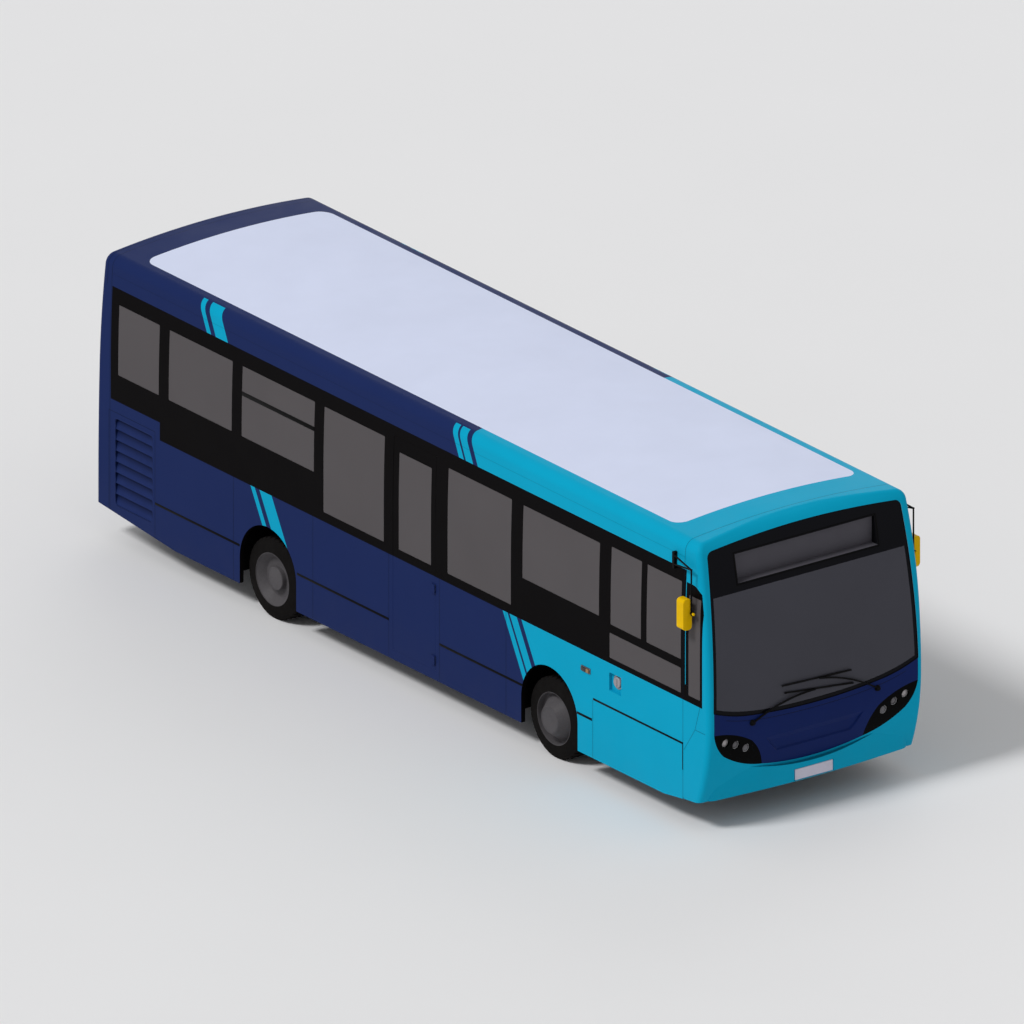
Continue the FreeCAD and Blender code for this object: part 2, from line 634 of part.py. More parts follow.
def make_chassis():
    rail = RAIL_X[0]
    for sign in (-1, 1):
        keep("chassis_rails", prism_x(RAIL_PATH, sign * rail, sign * RAIL_X[1]))
    for y in LOW_CROSS_Y[1:]:
        keep("cross_members", box(-rail, rail, y - 30, y + 30, 262, 312))
    for y in HIGH_CROSS_Y:
        keep("cross_members", box(-rail, rail, y - 30, y + 30, 540, 600))
    for y in OUTRIGGER_Y:
        for sign in (-1, 1):
            keep("cross_members", box(sign * RAIL_X[1], sign * (HALF - WALL), y - 25, y + 25, 268, 318))
    front = box(-rail, rail, LOW_CROSS_Y[0] - 30, LOW_CROSS_Y[0] + 30, 262, 312)
    lug = box(-45, 45, TOW_EYE_Y - 38, LOW_CROSS_Y[0], TOW_EYE_Z - 15, TOW_EYE_Z + 15)
    eye = cylinder((0, TOW_EYE_Y, 0), (0, TOW_EYE_Y, 400), TOW_EYE_R)
    keep("towing_member", front.fuse(lug).cut(eye))


def make_engine():
    block = box(-RAIL_X[0], RAIL_X[0], STEP_2_Y + 120, 4290, 430, ENGINE_DECK_Z - FLOOR_T - 20)
    keep("engine", rounded(block, (0, 0, 1), 40))


# ---------------------------------------------------------------- axles and wheels
BEAM_Z = 236.0
PIN_R = 18.0
STUB_R = 30.0
HUB_FACE = 175.0           # flat face of a front hub, out from the middle of its tyre


def make_front_axle():
    y = FRONT_AXLE_Y
    beam = prism_y([(-640, BEAM_Z - 30), (640, BEAM_Z - 30), (790, TYRE_R - 34), (860, TYRE_R - 34),
                    (860, TYRE_R + 34), (760, TYRE_R + 34), (600, BEAM_Z + 34), (-600, BEAM_Z + 34),
                    (-760, TYRE_R + 34), (-860, TYRE_R + 34), (-860, TYRE_R - 34), (-790, TYRE_R - 34)],
                   y - 38, y + 38)
    shapes = [beam]
    for sign in (-1, 1):
        x = sign * KINGPIN_X
        shapes.append(cylinder((x, y, TYRE_R - 42), (x, y, TYRE_R + 42), 36))
        shapes.append(box(sign * 380, sign * 480, y - 60, y + 60, BEAM_Z + 30, 292))
    axle = fuse(shapes)
    for sign in (-1, 1):
        x = sign * KINGPIN_X
        axle = axle.cut(cylinder((x, y, 0), (x, y, 900), PIN_R + 0.05))
    keep("front_axle", axle)


ARM_Y = 250.0              # steering arms reach this far behind the kingpins
ARM_X = KINGPIN_X          # arms run straight back, so the rod and axle stay parallel
ARM_Z = 330.0
ROD_Z = 250.0


def make_knuckle(sign, name):
    y = FRONT_AXLE_Y
    x = sign * KINGPIN_X
    shapes = [cylinder((x, y, TYRE_R - 78), (x, y, TYRE_R + 78), PIN_R)]
    for dz in (-1, 1):
        ear = box(x - 34, x + 34, y - 34, y + 34, TYRE_R + dz * 48, TYRE_R + dz * 78)
        shapes.append(rounded(ear, (0, 0, 1), 14))
    web_near, web_far = sign * (KINGPIN_X + 41), sign * (KINGPIN_X + 62)
    shapes.append(box(web_near, web_far, y - 44, y + 44, TYRE_R - 78, TYRE_R + 78))
    for dz in (-1, 1):
        shapes.append(box(x, web_far, y - 34, y + 34, TYRE_R + dz * 48, TYRE_R + dz * 78))
    shapes.append(cylinder((web_far - sign * 2, y, TYRE_R), (sign * 1128, y, TYRE_R), STUB_R))
    foot = box(x - 20, x + 20, y, y + 60, TYRE_R - 78, TYRE_R - 50)
    arm = prism_arm((x, y + 20), (sign * ARM_X, y + ARM_Y), ARM_Z - 16, ARM_Z + 10)
    ball = cylinder((sign * ARM_X, y + ARM_Y, ROD_Z - 20), (sign * ARM_X, y + ARM_Y, ARM_Z), 12)
    shapes += [foot, arm, ball]
    keep(name, fuse(shapes))


def prism_arm(start, end, z0, z1, half=18.0):
    run = V(end[0] - start[0], end[1] - start[1], 0)
    side = V(-run.y, run.x, 0).normalize() * half
    a, b = V(start[0], start[1], z0), V(end[0], end[1], z0)
    corners = [a + side, b + side, b - side, a - side]
    face = Part.Face(Part.makePolygon(corners + corners[:1]))
    return face.extrude(V(0, 0, z1 - z0)).fuse(cylinder((end[0], end[1], z0), (end[0], end[1], z1), 24))


def make_track_rod():
    y = FRONT_AXLE_Y + ARM_Y
    z = ROD_Z
    rod = cylinder((-ARM_X + 20, y, z), (ARM_X - 20, y, z), 14)
    for sign in (-1, 1):
        rod = rod.fuse(cylinder((sign * ARM_X, y, z - 16), (sign * ARM_X, y, z + 16), 26))
    for sign in (-1, 1):
        rod = rod.cut(cylinder((sign * ARM_X, y, 0), (sign * ARM_X, y, 600), 12.05 if sign > 0 else 14.0))
    keep("track_rod", rod)


def tyre(centre, sign):
    """A tyre as a plain ring.  sign is its outer side, where it spreads towards the rim's edge, or 0."""
    wall = TYRE_W / 2 - 14
    near = -wall
    far = RIM_FACE - 16 if sign else wall
    points = [(far, RIM_R), (far, TYRE_R), (near, TYRE_R), (near, RIM_R)]
    return revolved([((sign or 1) * a, r) for a, r in points], centre)


def make_front_wheel(sign, name):
    """Rim, convex disc and hub about the stub, then the tyre."""
    y, z = FRONT_AXLE_Y, TYRE_R
    x = sign * WHEEL_X
    face = RIM_FACE
    profile = [(-90, RIM_R), (-90, 238), (50, 234), (50, 208), (60, 203), (160, 119), (160, 74), (-52, 70),
               (-52, STUB_R + 0.05), (92, STUB_R + 0.05), (92, 0), (HUB_FACE, 0), (HUB_FACE, 126),
               (HUB_FACE - 4, 131), (67, 214), (60, 220), (60, 232), (66, 238), (face - 9, 246),
               (face, 248), (face, RIM_R)]
    keep(name.replace("tyre", "wheel"), revolved([(sign * a, r) for a, r in profile], (x, y, z)))
    keep(name, tyre((x, y, z), sign))


def make_rear_wheels(sign, name):
    """A twin pair: dished outer rim, plain inner rim, and one hub."""
    y, z = REAR_AXLE_Y, TYRE_R
    x = sign * WHEEL_X
    bore = 45.05
    step = -TWIN_STEP
    face = RIM_FACE
    profile = [(face, RIM_R), (-92, RIM_R), (-92, 238), (96, 238), (36, 188), (36, 120), (step + 92, 120),
               (step + 92, RIM_R), (step - 92, RIM_R), (step - 92, 236), (step + 40, 224), (step + 78, 200),
               (step + 78, bore), (40, bore), (40, 0), (95, 0), (95, 106), (91, 110), (50, 113), (46, 117),
               (46, 183), (50, 188), (face - 6, 247), (face, 248)]
    keep(name.replace("tyres", "wheels"), revolved([(sign * a, r) for a, r in profile], (x, y, z)))
    keep(name, tyre((x, y, z), sign), tyre((x - sign * TWIN_STEP, y, z), 0))


def make_rear_axle():
    """Casing, bowl and spindles in one turned shape, with seats for the springs."""
    half = [(0, 150), (60, 150), (130, 115), (170, 72), (690, 72), (690, 45), (1080, 45), (1080, 0)]
    profile = [(-x, r) for x, r in reversed(half[1:])] + half[1:]
    casing = revolved(profile, (0, REAR_AXLE_Y, TYRE_R))
    seats = [box(s * RAIL_X[0], s * RAIL_X[1], REAR_AXLE_Y - 60, REAR_AXLE_Y + 60, TYRE_R + 40, 530)
             for s in (-1, 1)]
    keep("rear_axle", fuse([casing] + seats))


# ---------------------------------------------------------------- inside
def seat_pair(x0, x1, y, floor_z):
    """A double seat facing forward: pedestal, cushion and back, its front at y."""
    side = [(y + 60, floor_z), (y + 60, floor_z + 380), (y, floor_z + 390), (y, floor_z + 460),
            (y + 400, floor_z + 450), (y + 520, floor_z + 1020), (y + 590, floor_z + 1010),
            (y + 470, floor_z + 370), (y + 380, floor_z + 360), (y + 340, floor_z)]
    return prism_x(side, x0, x1)


SEAT_ROWS = [(-1560.0, FLOOR_Z, (-1, 1)), (-800.0, FLOOR_Z, (1,)), (560.0, FLOOR_Z, (-1, 1)),
             (2560.0, DECK_Z, (-1, 1)), (3440.0, ENGINE_DECK_Z, (-1, 1))]
SEAT_X = (370.0, 1150.0)


def make_seats():
    shapes = []
    for y, floor_z, sides in SEAT_ROWS:
        for sign in sides:
            shapes.append(seat_pair(sign * SEAT_X[0], sign * SEAT_X[1], y, floor_z))
    keep("seats", *shapes)
    side = [(-3500, FLOOR_Z), (-3500, FLOOR_Z + 300), (-3560, FLOOR_Z + 310), (-3560, FLOOR_Z + 430),
            (-3160, FLOOR_Z + 420), (-3040, FLOOR_Z + 1050), (-2960, FLOOR_Z + 1040),
            (-3090, FLOOR_Z + 300), (-3140, FLOOR_Z)]
    keep("seats", prism_x(side, -950, -450))


def make_cab():
    desk = prism_x([(-4420, FLOOR_Z), (-4480, 900), (-4460, 1020), (-4130, 1010), (-4100, 940),
                    (-4280, 760), (-4280, FLOOR_Z)], -1120, 300)
    desk = desk.common(body_block(-WALL - 5))
    column = cylinder((-700, -4200, 900), (-700, -3975, 1090), 30)
    wheel = Part.makeTorus(215, 15, V(-700, -3975, 1090), V(0, 0.77, 0.64))
    spokes = cylinder((-915, -3975, 1090), (-485, -3975, 1090), 13)
    wall = box(-1150, -420, -2870, -2840, FLOOR_Z, 2200)
    gate = box(-420, -390, -3900, -2840, FLOOR_Z, 1350)
    keep("driver_cab", desk.fuse([column, wheel, spokes]), wall.fuse(gate))


POST_X = 345.0
POST_R = 16.0
RAIL_Z = 2000.0
LONG_RAIL_Y = (-2640.0, 3340.0)
# grab posts: place along the bus, height of the floor they stand on
POSTS = [(-2600.0, FLOOR_Z), (-800.0, FLOOR_Z), (500.0, FLOOR_Z), (1900.0, DECK_Z), (3300.0, DECK_Z)]


def make_handrails():
    for sign in (-1, 1):
        x = sign * POST_X
        rail = cylinder((x, LONG_RAIL_Y[0], RAIL_Z), (x, LONG_RAIL_Y[1], RAIL_Z), POST_R)
        keep("handrails", rail)
        for y, floor_z in POSTS:
            post = cylinder((x, y, floor_z), (x, y, 2850), POST_R - 1).common(inner)
            clamp = cylinder((x, y - 100, RAIL_Z), (x, y + 100, RAIL_Z), POST_R + 0.5)
            keep("handrails", post.cut(clamp))


# ---------------------------------------------------------------- outside fittings
MIRROR_POST = (-4107.0, 2484.0, 2645.0)      # place along the side, foot and top
MIRROR_ARM_X = 1262.0
MIRROR_ARM_Y = -4424.0                       # the upright bar passes in front of the head
MIRROR_CLAMP_Z = 2150.0
MIRROR_HEAD = (1248.0, 1346.0, -4414.0, -4312.0, 1990.0, 2290.0)
MIRROR_BAR_R = 8.0


def make_mirrors():
    y, z0, z1 = MIRROR_POST
    x0, x1, head_y0, head_y1, head_z0, head_z1 = MIRROR_HEAD
    r = MIRROR_BAR_R
    for sign in (-1, 1):
        mount = box(sign * 1150, sign * 1232, y - 16, y + 16, z0, z1).cut(outer)
        bend = (sign * MIRROR_ARM_X, MIRROR_ARM_Y, z1 - 70)
        foot = (bend[0], bend[1], MIRROR_CLAMP_Z - 12)
        clamp = cylinder((bend[0], bend[1], MIRROR_CLAMP_Z), (bend[0], head_y0 + 12, MIRROR_CLAMP_Z), r + 2)
        bars = [cylinder((sign * 1222, y, z1 - 30), bend, r),
                cylinder((sign * 1222, y, z0 + 40), bend, r),
                Part.makeSphere(r + 3, V(*bend)),
                cylinder(bend, foot, r), clamp]
        keep("mirror_arms", fuse([mount] + bars))
        head = rounded(box(sign * x0, sign * x1, head_y0, head_y1, head_z0, head_z1), (0, 1, 0), 34)
        keep("mirror_heads", head.cut(clamp))


# each wiper: the arm's bends from its root, then the blade's two ends, as (x, z)
WIPERS = [
    ([(-725.0, 1019.0), (-393.0, 1139.0), (-19.0, 1182.0)], [(-359.0, 1222.0), (419.0, 1137.0)]),
    ([(695.0, 1018.0), (400.0, 1176.0), (30.0, 1279.0)], [(-390.0, 1298.0), (397.0, 1269.0)]),
]


def bent_strip(points, half, y0, y1):
    """A flat bar of even width along the arc through three (x, z) points."""
    a, b, c = (V(x, y0, z) for x, z in points)
    circle = Part.Circle(a, b, c)
    centre, radius = circle.Center, circle.Radius
    rims = []
    for r in (radius - half, radius + half):
        rims.append([centre + (p - centre) * (r / radius) for p in (a, b, c)])
    near, far = rims
    edges = [Part.Arc(*near).toShape(), Part.Arc(*far).toShape(),
             Part.makeLine(near[0], far[0]), Part.makeLine(near[2], far[2])]
    return face_of_edges(edges).extrude(V(0, y1 - y0, 0))


def make_wipers():
    y = FRONT_Y
    for bends, blade in WIPERS:
        root = cylinder((bends[0][0], y, bends[0][1]), (bends[0][0], y - 29, bends[0][1]), 17)
        arm = bent_strip(bends, 7, y - 20, y - 8)
        (x0, z0), (x1, z1) = blade
        bar = prism_y([(x0, z0 - 7), (x1, z1 - 7), (x1, z1 + 7), (x0, z0 + 7)], y - 10, y + 1)
        keep("wipers", fuse([root, arm, bar]))


# ---------------------------------------------------------------- build
make_sides()
make_roof()
make_front()
make_rear()
make_emergency_door()
make_entrance_door(-1, "front_door")
make_entrance_door(1, "rear_door")
make_floor()
make_chassis()
make_engine()
make_front_axle()
make_knuckle(-1, "knuckle_right")
make_knuckle(1, "knuckle_left")
make_track_rod()
make_front_wheel(-1, "front_tyre_right")
make_front_wheel(1, "front_tyre_left")
make_rear_axle()
make_rear_wheels(-1, "rear_tyres_right")
make_rear_wheels(1, "rear_tyres_left")
make_seats()
make_cab()
make_handrails()
make_mirrors()
make_wipers()

os.makedirs("parts", exist_ok=True)
for name, solids in nodes.items():
    shape = solids[0] if len(solids) == 1 else Part.makeCompound(solids)
    shape.exportStep("parts/" + name + ".step")
    print(name, len(solids), shape.isValid())
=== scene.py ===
import functools
import json
import math

import bmesh
import bpy
from mathutils import Matrix, Vector
from mathutils.bvhtree import BVHTree


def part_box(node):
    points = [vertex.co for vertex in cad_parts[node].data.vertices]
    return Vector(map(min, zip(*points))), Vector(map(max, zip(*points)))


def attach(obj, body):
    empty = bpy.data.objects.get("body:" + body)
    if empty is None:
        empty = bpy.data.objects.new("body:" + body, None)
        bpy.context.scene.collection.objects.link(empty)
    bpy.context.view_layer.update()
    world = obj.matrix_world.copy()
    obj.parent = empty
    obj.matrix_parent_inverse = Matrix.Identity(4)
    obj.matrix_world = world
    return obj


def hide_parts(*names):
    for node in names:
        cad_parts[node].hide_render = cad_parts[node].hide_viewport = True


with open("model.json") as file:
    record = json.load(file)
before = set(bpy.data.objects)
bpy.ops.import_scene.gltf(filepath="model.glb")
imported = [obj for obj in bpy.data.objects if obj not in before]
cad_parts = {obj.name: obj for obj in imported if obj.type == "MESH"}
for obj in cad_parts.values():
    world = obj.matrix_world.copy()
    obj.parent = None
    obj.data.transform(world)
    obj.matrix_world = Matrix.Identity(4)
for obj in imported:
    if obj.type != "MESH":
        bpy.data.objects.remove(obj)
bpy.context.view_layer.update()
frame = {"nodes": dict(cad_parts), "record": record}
nodes = frame["nodes"]
record = frame["record"]
scene = bpy.context.scene
scene.view_settings.view_transform = "Standard"

# the bus stands on z = 0, its front faces -Y and the driver sits at -X
busLook = {
    "navy": (0.0122, 0.0236, 0.0985),
    "panelNavy": (0.0052, 0.016, 0.102),
    "turquoise": (0.0032, 0.358, 0.568),
    "roofWhite": (0.655, 0.705, 0.885),
    "bandBlack": (0.0027, 0.0021, 0.0024),
    "liningGrey": (0.42, 0.43, 0.44),
    "sideGlass": (0.1, 0.091, 0.095),
    "screenGlass": (0.07, 0.07, 0.086),
    "stripeSlope": 0.54,
    "stripeBase": 1.2,
}


# camera, floor and light
cameraSetup = {"toward": (-3.0, -4.0, 2.0), "aim": (0.0, -0.024, 1.433), "distance": 30.0,
               "frameWidth": 9.309}
lightSetup = {
    "worldStrength": 0.43,
    "worldShows": (0.8, 0.81, 0.83),
    "paleGrey": 0.84,
    "key": {"toward": (-0.64, 0.04, 0.76), "strength": 1.72, "angle": 14},
    "fill": {"toward": (0.6, 0.55, 0.35), "strength": 0.4, "angle": 40},
}


def placeObject(name, data):
    item = bpy.data.objects.new(name, data)
    scene.collection.objects.link(item)
    return item


def addCamera(setup):
    toward = Vector(setup["toward"]).normalized()
    data = bpy.data.cameras.new("viewCamera")
    data.type = "ORTHO"
    data.ortho_scale = setup["frameWidth"]
    data.clip_end = 200.0
    camera = placeObject("viewCamera", data)
    camera.location = Vector(setup["aim"]) + toward * setup["distance"]
    camera.rotation_euler = (-toward).to_track_quat("-Z", "Y").to_euler()
    scene.camera = camera


def addSun(name, look):
    data = bpy.data.lights.new(name, "SUN")
    data.energy = look["strength"]
    data.angle = math.radians(look["angle"])
    sun = placeObject(name, data)
    sun.rotation_euler = Vector(look["toward"]).to_track_quat("Z", "Y").to_euler()


# a shader value: sums, products and comparisons of it add Math nodes to its tree
class Field:
    def __init__(self, tree, socket):
        self.tree = tree
        self.socket = socket

    def math(self, operation, *others):
        return addNode(self.tree, "Math", dict(enumerate((self, *others))), operation=operation).field(0)

    __add__ = functools.partialmethod(math, "ADD")
    __sub__ = functools.partialmethod(math, "SUBTRACT")
    __mul__ = functools.partialmethod(math, "MULTIPLY")
    __truediv__ = functools.partialmethod(math, "DIVIDE")
    __gt__ = functools.partialmethod(math, "GREATER_THAN")
    __lt__ = functools.partialmethod(math, "LESS_THAN")
    __and__ = functools.partialmethod(math, "MULTIPLY")
    __or__ = functools.partialmethod(math, "MAXIMUM")
    __abs__ = functools.partialmethod(math, "ABSOLUTE")

    def __rsub__(self, other):
        return addNode(self.tree, "Math", {0: other, 1: self}, operation="SUBTRACT").field()

    def positive(self):
        return self | 0.0

    def far(self, other):
        # how far the point (self, other) lies from the origin
        return (self.math("POWER", 2.0) + other.math("POWER", 2.0)).math("SQRT")

    def within(self, low, high):
        return (self > low) & (self < high)

    def near(self, place, half):
        return abs(self - place) < half

    def ranged(self, low, high, start=0.3, end=0.7, **settings):
        look = {0: self, 1: start, 2: end, 3: low, 4: high}
        return addNode(self.tree, "MapRange", look, **settings).field(0)

    def mix(self, first, second):
        # the first colour where this is 0 and the second where it is 1
        colors = [value if isinstance(value, Field) else (*value, 1.0) for value in (first, second)]
        return addNode(self.tree, "Mix", {0: self, 6: colors[0], 7: colors[1]}, data_type="RGBA").field(2)


class Made:
    # a node just added, whose outputs come out as fields
    def __init__(self, tree, node):
        self.tree = tree
        self.node = node

    def field(self, output=0):
        return Field(self.tree, self.node.outputs[output])


def addNode(tree, kind, inputs=None, **settings):
    node = tree.nodes.new("ShaderNode" + kind)
    for key, value in settings.items():
        setattr(node, key, value)
    for key, value in (inputs or {}).items():
        if isinstance(value, Field):
            tree.links.new(value.socket, node.inputs[key])
        else:
            node.inputs[key].default_value = value
    return Made(tree, node)


def anyOf(masks):
    return functools.reduce(lambda first, second: first | second, masks)


def splitXyz(tree, output):
    # the three parts of a texture coordinate output
    parts = addNode(tree, "SeparateXYZ", {0: addNode(tree, "TexCoord").field(output)})
    return [parts.field(i) for i in range(3)]


def newMaterial(name, roughness=0.5, metallic=0.0, specular=0.5, coat=0.0, alpha=1.0):
    material = bpy.data.materials.new(name)
    material.use_nodes = True
    shader = material.node_tree.nodes["Principled BSDF"]
    looks = {"Roughness": roughness, "Metallic": metallic, "Specular IOR Level": specular,
             "Coat Weight": coat, "Alpha": alpha}
    for key, value in looks.items():
        shader.inputs[key].default_value = value
    return material, material.node_tree, shader


def link(field, shader, name="Base Color"):
    field.tree.links.new(field.socket, shader.inputs[name])


def noiseOf(tree, scale, detail=3.0):
    look = {"Vector": addNode(tree, "TexCoord").field("Object"), "Scale": scale, "Detail": detail,
            "Roughness": 0.55}
    return addNode(tree, "TexNoise", look).field("Fac")


def clouded(tree, color, scale, detail, low, high):
    # a colour that drifts between low and high times itself
    drift = noiseOf(tree, scale, detail).ranged(0.0, 1.0)
    return drift.mix([c * low for c in color], [c * high for c in color])


def addBump(shader, height, distance):
    link(addNode(height.tree, "Bump", {"Height": height, "Distance": distance, "Strength": 1.0}).field(),
         shader, "Normal")


def scaledBy(color, amount):
    scaled = addNode(amount.tree, "VectorMath", {0: color}, operation="SCALE")
    amount.tree.links.new(amount.socket, scaled.node.inputs["Scale"])
    return scaled.field()


# a finish with uneven colour, uneven gloss and a fine grain
def makeFinish(name, color, roughness=0.5, metallic=0.0, specular=0.5, vary=0.12, grain=60.0,
               bump=0.0002):
    material, tree, shader = newMaterial(name, roughness, metallic, specular)
    cloud = noiseOf(tree, 2.3, 4.0).ranged(1.0 - vary, 1.0 + vary)
    fine = noiseOf(tree, grain)
    link(scaledBy(color, cloud * fine.ranged(1.0 - vary / 2, 1.0 + vary / 2)), shader)
    gloss = noiseOf(tree, 7.0, 4.0).ranged(roughness * 0.86, min(roughness * 1.14, 1.0))
    link(gloss, shader, "Roughness")
    if bump:
        addBump(shader, fine, bump)
    return material


# the painted body: blue behind, turquoise ahead, black band at the windows
livery = {
    "bandTop": 2.511, "bandFoot": 1.24, "bandFootRear": 1.414, "bandStepY": 3.686,
    "bandRearY": 4.43, "bandFrontY": -4.273, "slitY": -4.281, "slitFoot": 1.4,
    "cornerY": -4.532, "cornerTop": 2.4, "cornerR": 0.16,
    "mainEdge": -1.814,
    "stripes": ((-1.604, -1.529), (-1.744, -1.634), (1.971, 2.156), (2.226, 2.291)),
    "stripeTop": 2.785, "stripeFoot": 0.6,
    "roofHalf": 1.031, "roofFront": -3.912, "roofRear": 4.176, "roofCorner": 0.13,
    "seams": (2.57, 1.367, -1.56), "lowSeams": (-2.874,), "lowSeamTop": 0.8,
    "driverSideSeams": (0.216, -0.551), "endSeams": (-4.24, 4.44), "roofRearSeam": 4.506, "cantSeam": 2.629,
    "hatch": {"rear": 4.456, "front": 3.758, "top": 1.3},
    "cornerSeam": ((1.243, -4.499), (1.0, -4.424), (0.75, -4.254)), "cornerLine": (1.0, -4.58, -4.424),
    "lip": {"behind": -4.44, "top": 1.04, "start": 0.06, "full": 0.42, "shade": 0.5},
    "arches": (2.047, -2.217), "archHalf": 0.4295, "archTop": 0.925,
    "rearWindow": {"half": 1.075, "low": 1.575, "high": 2.445},
    "seamWidth": 0.006, "seamTop": 1.32, "roofFrom": 2.6, "sideFrom": 1.12, "sideFacing": 0.72,
    "driverSide": -1.1, "rearFrom": 4.3,
}


def liveryPaint(look, x, y, z):
    # turquoise ahead of a leaning line and in the leaning stripes, and the white roof panel
    along = y - (z - busLook["stripeBase"]) * busLook["stripeSlope"]
    stripes = anyOf([along.within(low, high) for low, high in look["stripes"]])
    stripes = stripes & z.within(look["stripeFoot"], look["stripeTop"]) & (x > 1.0)
    paint = ((along < look["mainEdge"]) | stripes).mix(busLook["navy"], busLook["turquoise"])
    corner = look["roofCorner"]
    middle = (look["roofFront"] + look["roofRear"]) / 2
    reach = (look["roofRear"] - look["roofFront"]) / 2 - corner
    dx = (x - (look["roofHalf"] - corner)).positive()
    dy = (abs(y - middle) - reach).positive()
    return ((dx.far(dy) < corner) & (z > look["roofFrom"])).mix(paint, busLook["roofWhite"])


def blackParts(tree, look, x, y, z, sideways, facingY):
    # window band, stepped up over the rear grille, corner glass surround, rear window and arch liners
    step = {0: y > look["bandStepY"], 2: look["bandFoot"], 3: look["bandFootRear"]}
    high = (z > addNode(tree, "Mix", step).field(0)) & (z < look["bandTop"])
    band = high & y.within(look["bandFrontY"], look["bandRearY"])
    cornerR = look["cornerR"]
    cy = ((look["cornerY"] + cornerR) - y).positive()
    cz = (z - (look["cornerTop"] - cornerR)).positive()
    surround = (cy.far(cz) < cornerR) & (y < look["slitY"]) & (z > look["bandFoot"])
    lowEnd = (y.within(look["slitY"] - 0.01, look["bandFrontY"] + 0.01)
              & z.within(look["bandFoot"], look["slitFoot"]))
    corner = (surround | lowEnd) & (sideways > look["sideFacing"])
    sides = (band | corner) & (x > look["sideFrom"])
    window = look["rearWindow"]
    behind = (x < window["half"]) & z.within(window["low"], window["high"]) & (facingY > 0.8)
    behind = behind & (y > look["rearFrom"])
    arches = anyOf([y.near(arch, look["archHalf"]) for arch in look["arches"]])
    return sides | behind | (arches & (z < look["archTop"]) & (sideways < 0.7))


def panelSeams(look, signedX, x, y, z, black):
    # fine lines between panels, hatches and the roof's ends
    half = look["seamWidth"] / 2
    driverSide = signedX < look["driverSide"]
    seams = [y.near(seam, half) for seam in look["seams"]]
    seams += [y.near(seam, half) & (z < look["lowSeamTop"]) for seam in look["lowSeams"]]
    seams += [y.near(seam, half) & driverSide for seam in look["driverSideSeams"]]
    hatch = look["hatch"]
    top = z.near(hatch["top"], half) & y.within(hatch["front"], hatch["rear"])
    edges = (y.near(hatch["front"], half) | y.near(hatch["rear"], half)) & (z < hatch["top"])
    seams.append((top | edges) & driverSide)
    for (z0, y0), (z1, y1) in zip(look["cornerSeam"], look["cornerSeam"][1:]):
        slope = (y1 - y0) / (z1 - z0)
        run = z.math("MULTIPLY_ADD", slope, y0 - slope * z0)
        seams.append((abs(y - run) < half) & z.within(z1, z0) & (x > 1.15))
    lineZ, lineFront, lineRear = look["cornerLine"]
    seams.append(z.near(lineZ, half) & y.within(lineFront, lineRear) & (x > 1.1))
    seam = anyOf(seams) & (z < look["seamTop"]) & (1.0 - black)
    cant = z.near(look["cantSeam"], half) & y.within(*look["endSeams"]) & (x > 1.0)
    ends = [y.near(place, half) for place in look["endSeams"]]
    ends.append(y.near(look["roofRearSeam"], half) & (z > look["bandTop"]))
    return anyOf([seam, cant * 0.4, *ends])


def makeBodyPaint(look):
    material, tree, shader = newMaterial("bodyPaint", 0.42, 0.0, 0.02)
    signedX, y, z = splitXyz(tree, "Object")
    facingX, facingY, facingZ = splitXyz(tree, "Normal")
    x = abs(signedX)
    black = blackParts(tree, look, x, y, z, abs(facingX), facingY)
    seam = panelSeams(look, signedX, x, y, z, black)
    paint = black.mix(liveryPaint(look, x, y, z), busLook["bandBlack"])
    paint = (seam * 0.6).mix(paint, (0.004, 0.008, 0.02))

    # the groove over the bumper's lip lies in its own shade
    lip = look["lip"]
    turned = facingZ.ranged(0.0, lip["shade"], lip["start"], lip["full"])
    paint = ((y < lip["behind"]) & (z < lip["top"]) & turned).mix(paint, (0.0, 0.02, 0.035))

    # the inside faces are lined in grey
    outwards = signedX * facingX + facingZ * (z > 2.3) + y * facingY * (abs(y) > 4.2)
    paint = (outwards < -0.45).mix(paint, busLook["liningGrey"])

    # faint unevenness in the paint and road film low on the panels
    film = z.ranged(0.0, 0.05, 0.75, 0.2) * noiseOf(tree, 5.0, 6.0).ranged(0.3, 1.0)
    link(film.mix(scaledBy(paint, noiseOf(tree, 1.6, 5.0).ranged(0.98, 1.02)), (0.1, 0.095, 0.09)), shader)
    link(noiseOf(tree, 3.0, 5.0).ranged(0.37, 0.47), shader, "Roughness")
    addBump(shader, noiseOf(tree, 320.0, 1.0) * 0.05 - seam, 0.0016)
    return material


screenLook = {
    "foot": (1.049, 0.05157, 0.04638), "side": (1.164, 1.204, 0.02322, 0.01438),
    "edge": 0.045, "bandFoot": 2.281, "seamDrop": 0.045,
}


def screenFoot(x):
    # height of the screen's lower edge
    base, square, fourth = screenLook["foot"]
    xx = x * x
    return (xx * xx).math("MULTIPLY_ADD", fourth, xx.math("MULTIPLY_ADD", square, base))


# windscreen glass, printed black at its edge and above the sight line
def makeScreenGlass(look):
    material, tree, shader = newMaterial("screenGlass", 0.14, 0.0, 0.06, alpha=0.9)
    x, _, z = splitXyz(tree, "Object")
    x = abs(x)
    reach, start, slope, curve = look["side"]
    up = z - start
    side = (reach - up * slope) - up * up * curve
    printed = anyOf([z - screenFoot(x) < look["edge"], side - x < look["edge"] * 0.85, z > look["bandFoot"]])
    tint = clouded(tree, busLook["screenGlass"], 0.9, 3.0, 0.96, 1.04)
    link(printed.mix(tint, (0.003, 0.003, 0.005)), shader)
    link(printed | 0.9, shader, "Alpha")
    return material


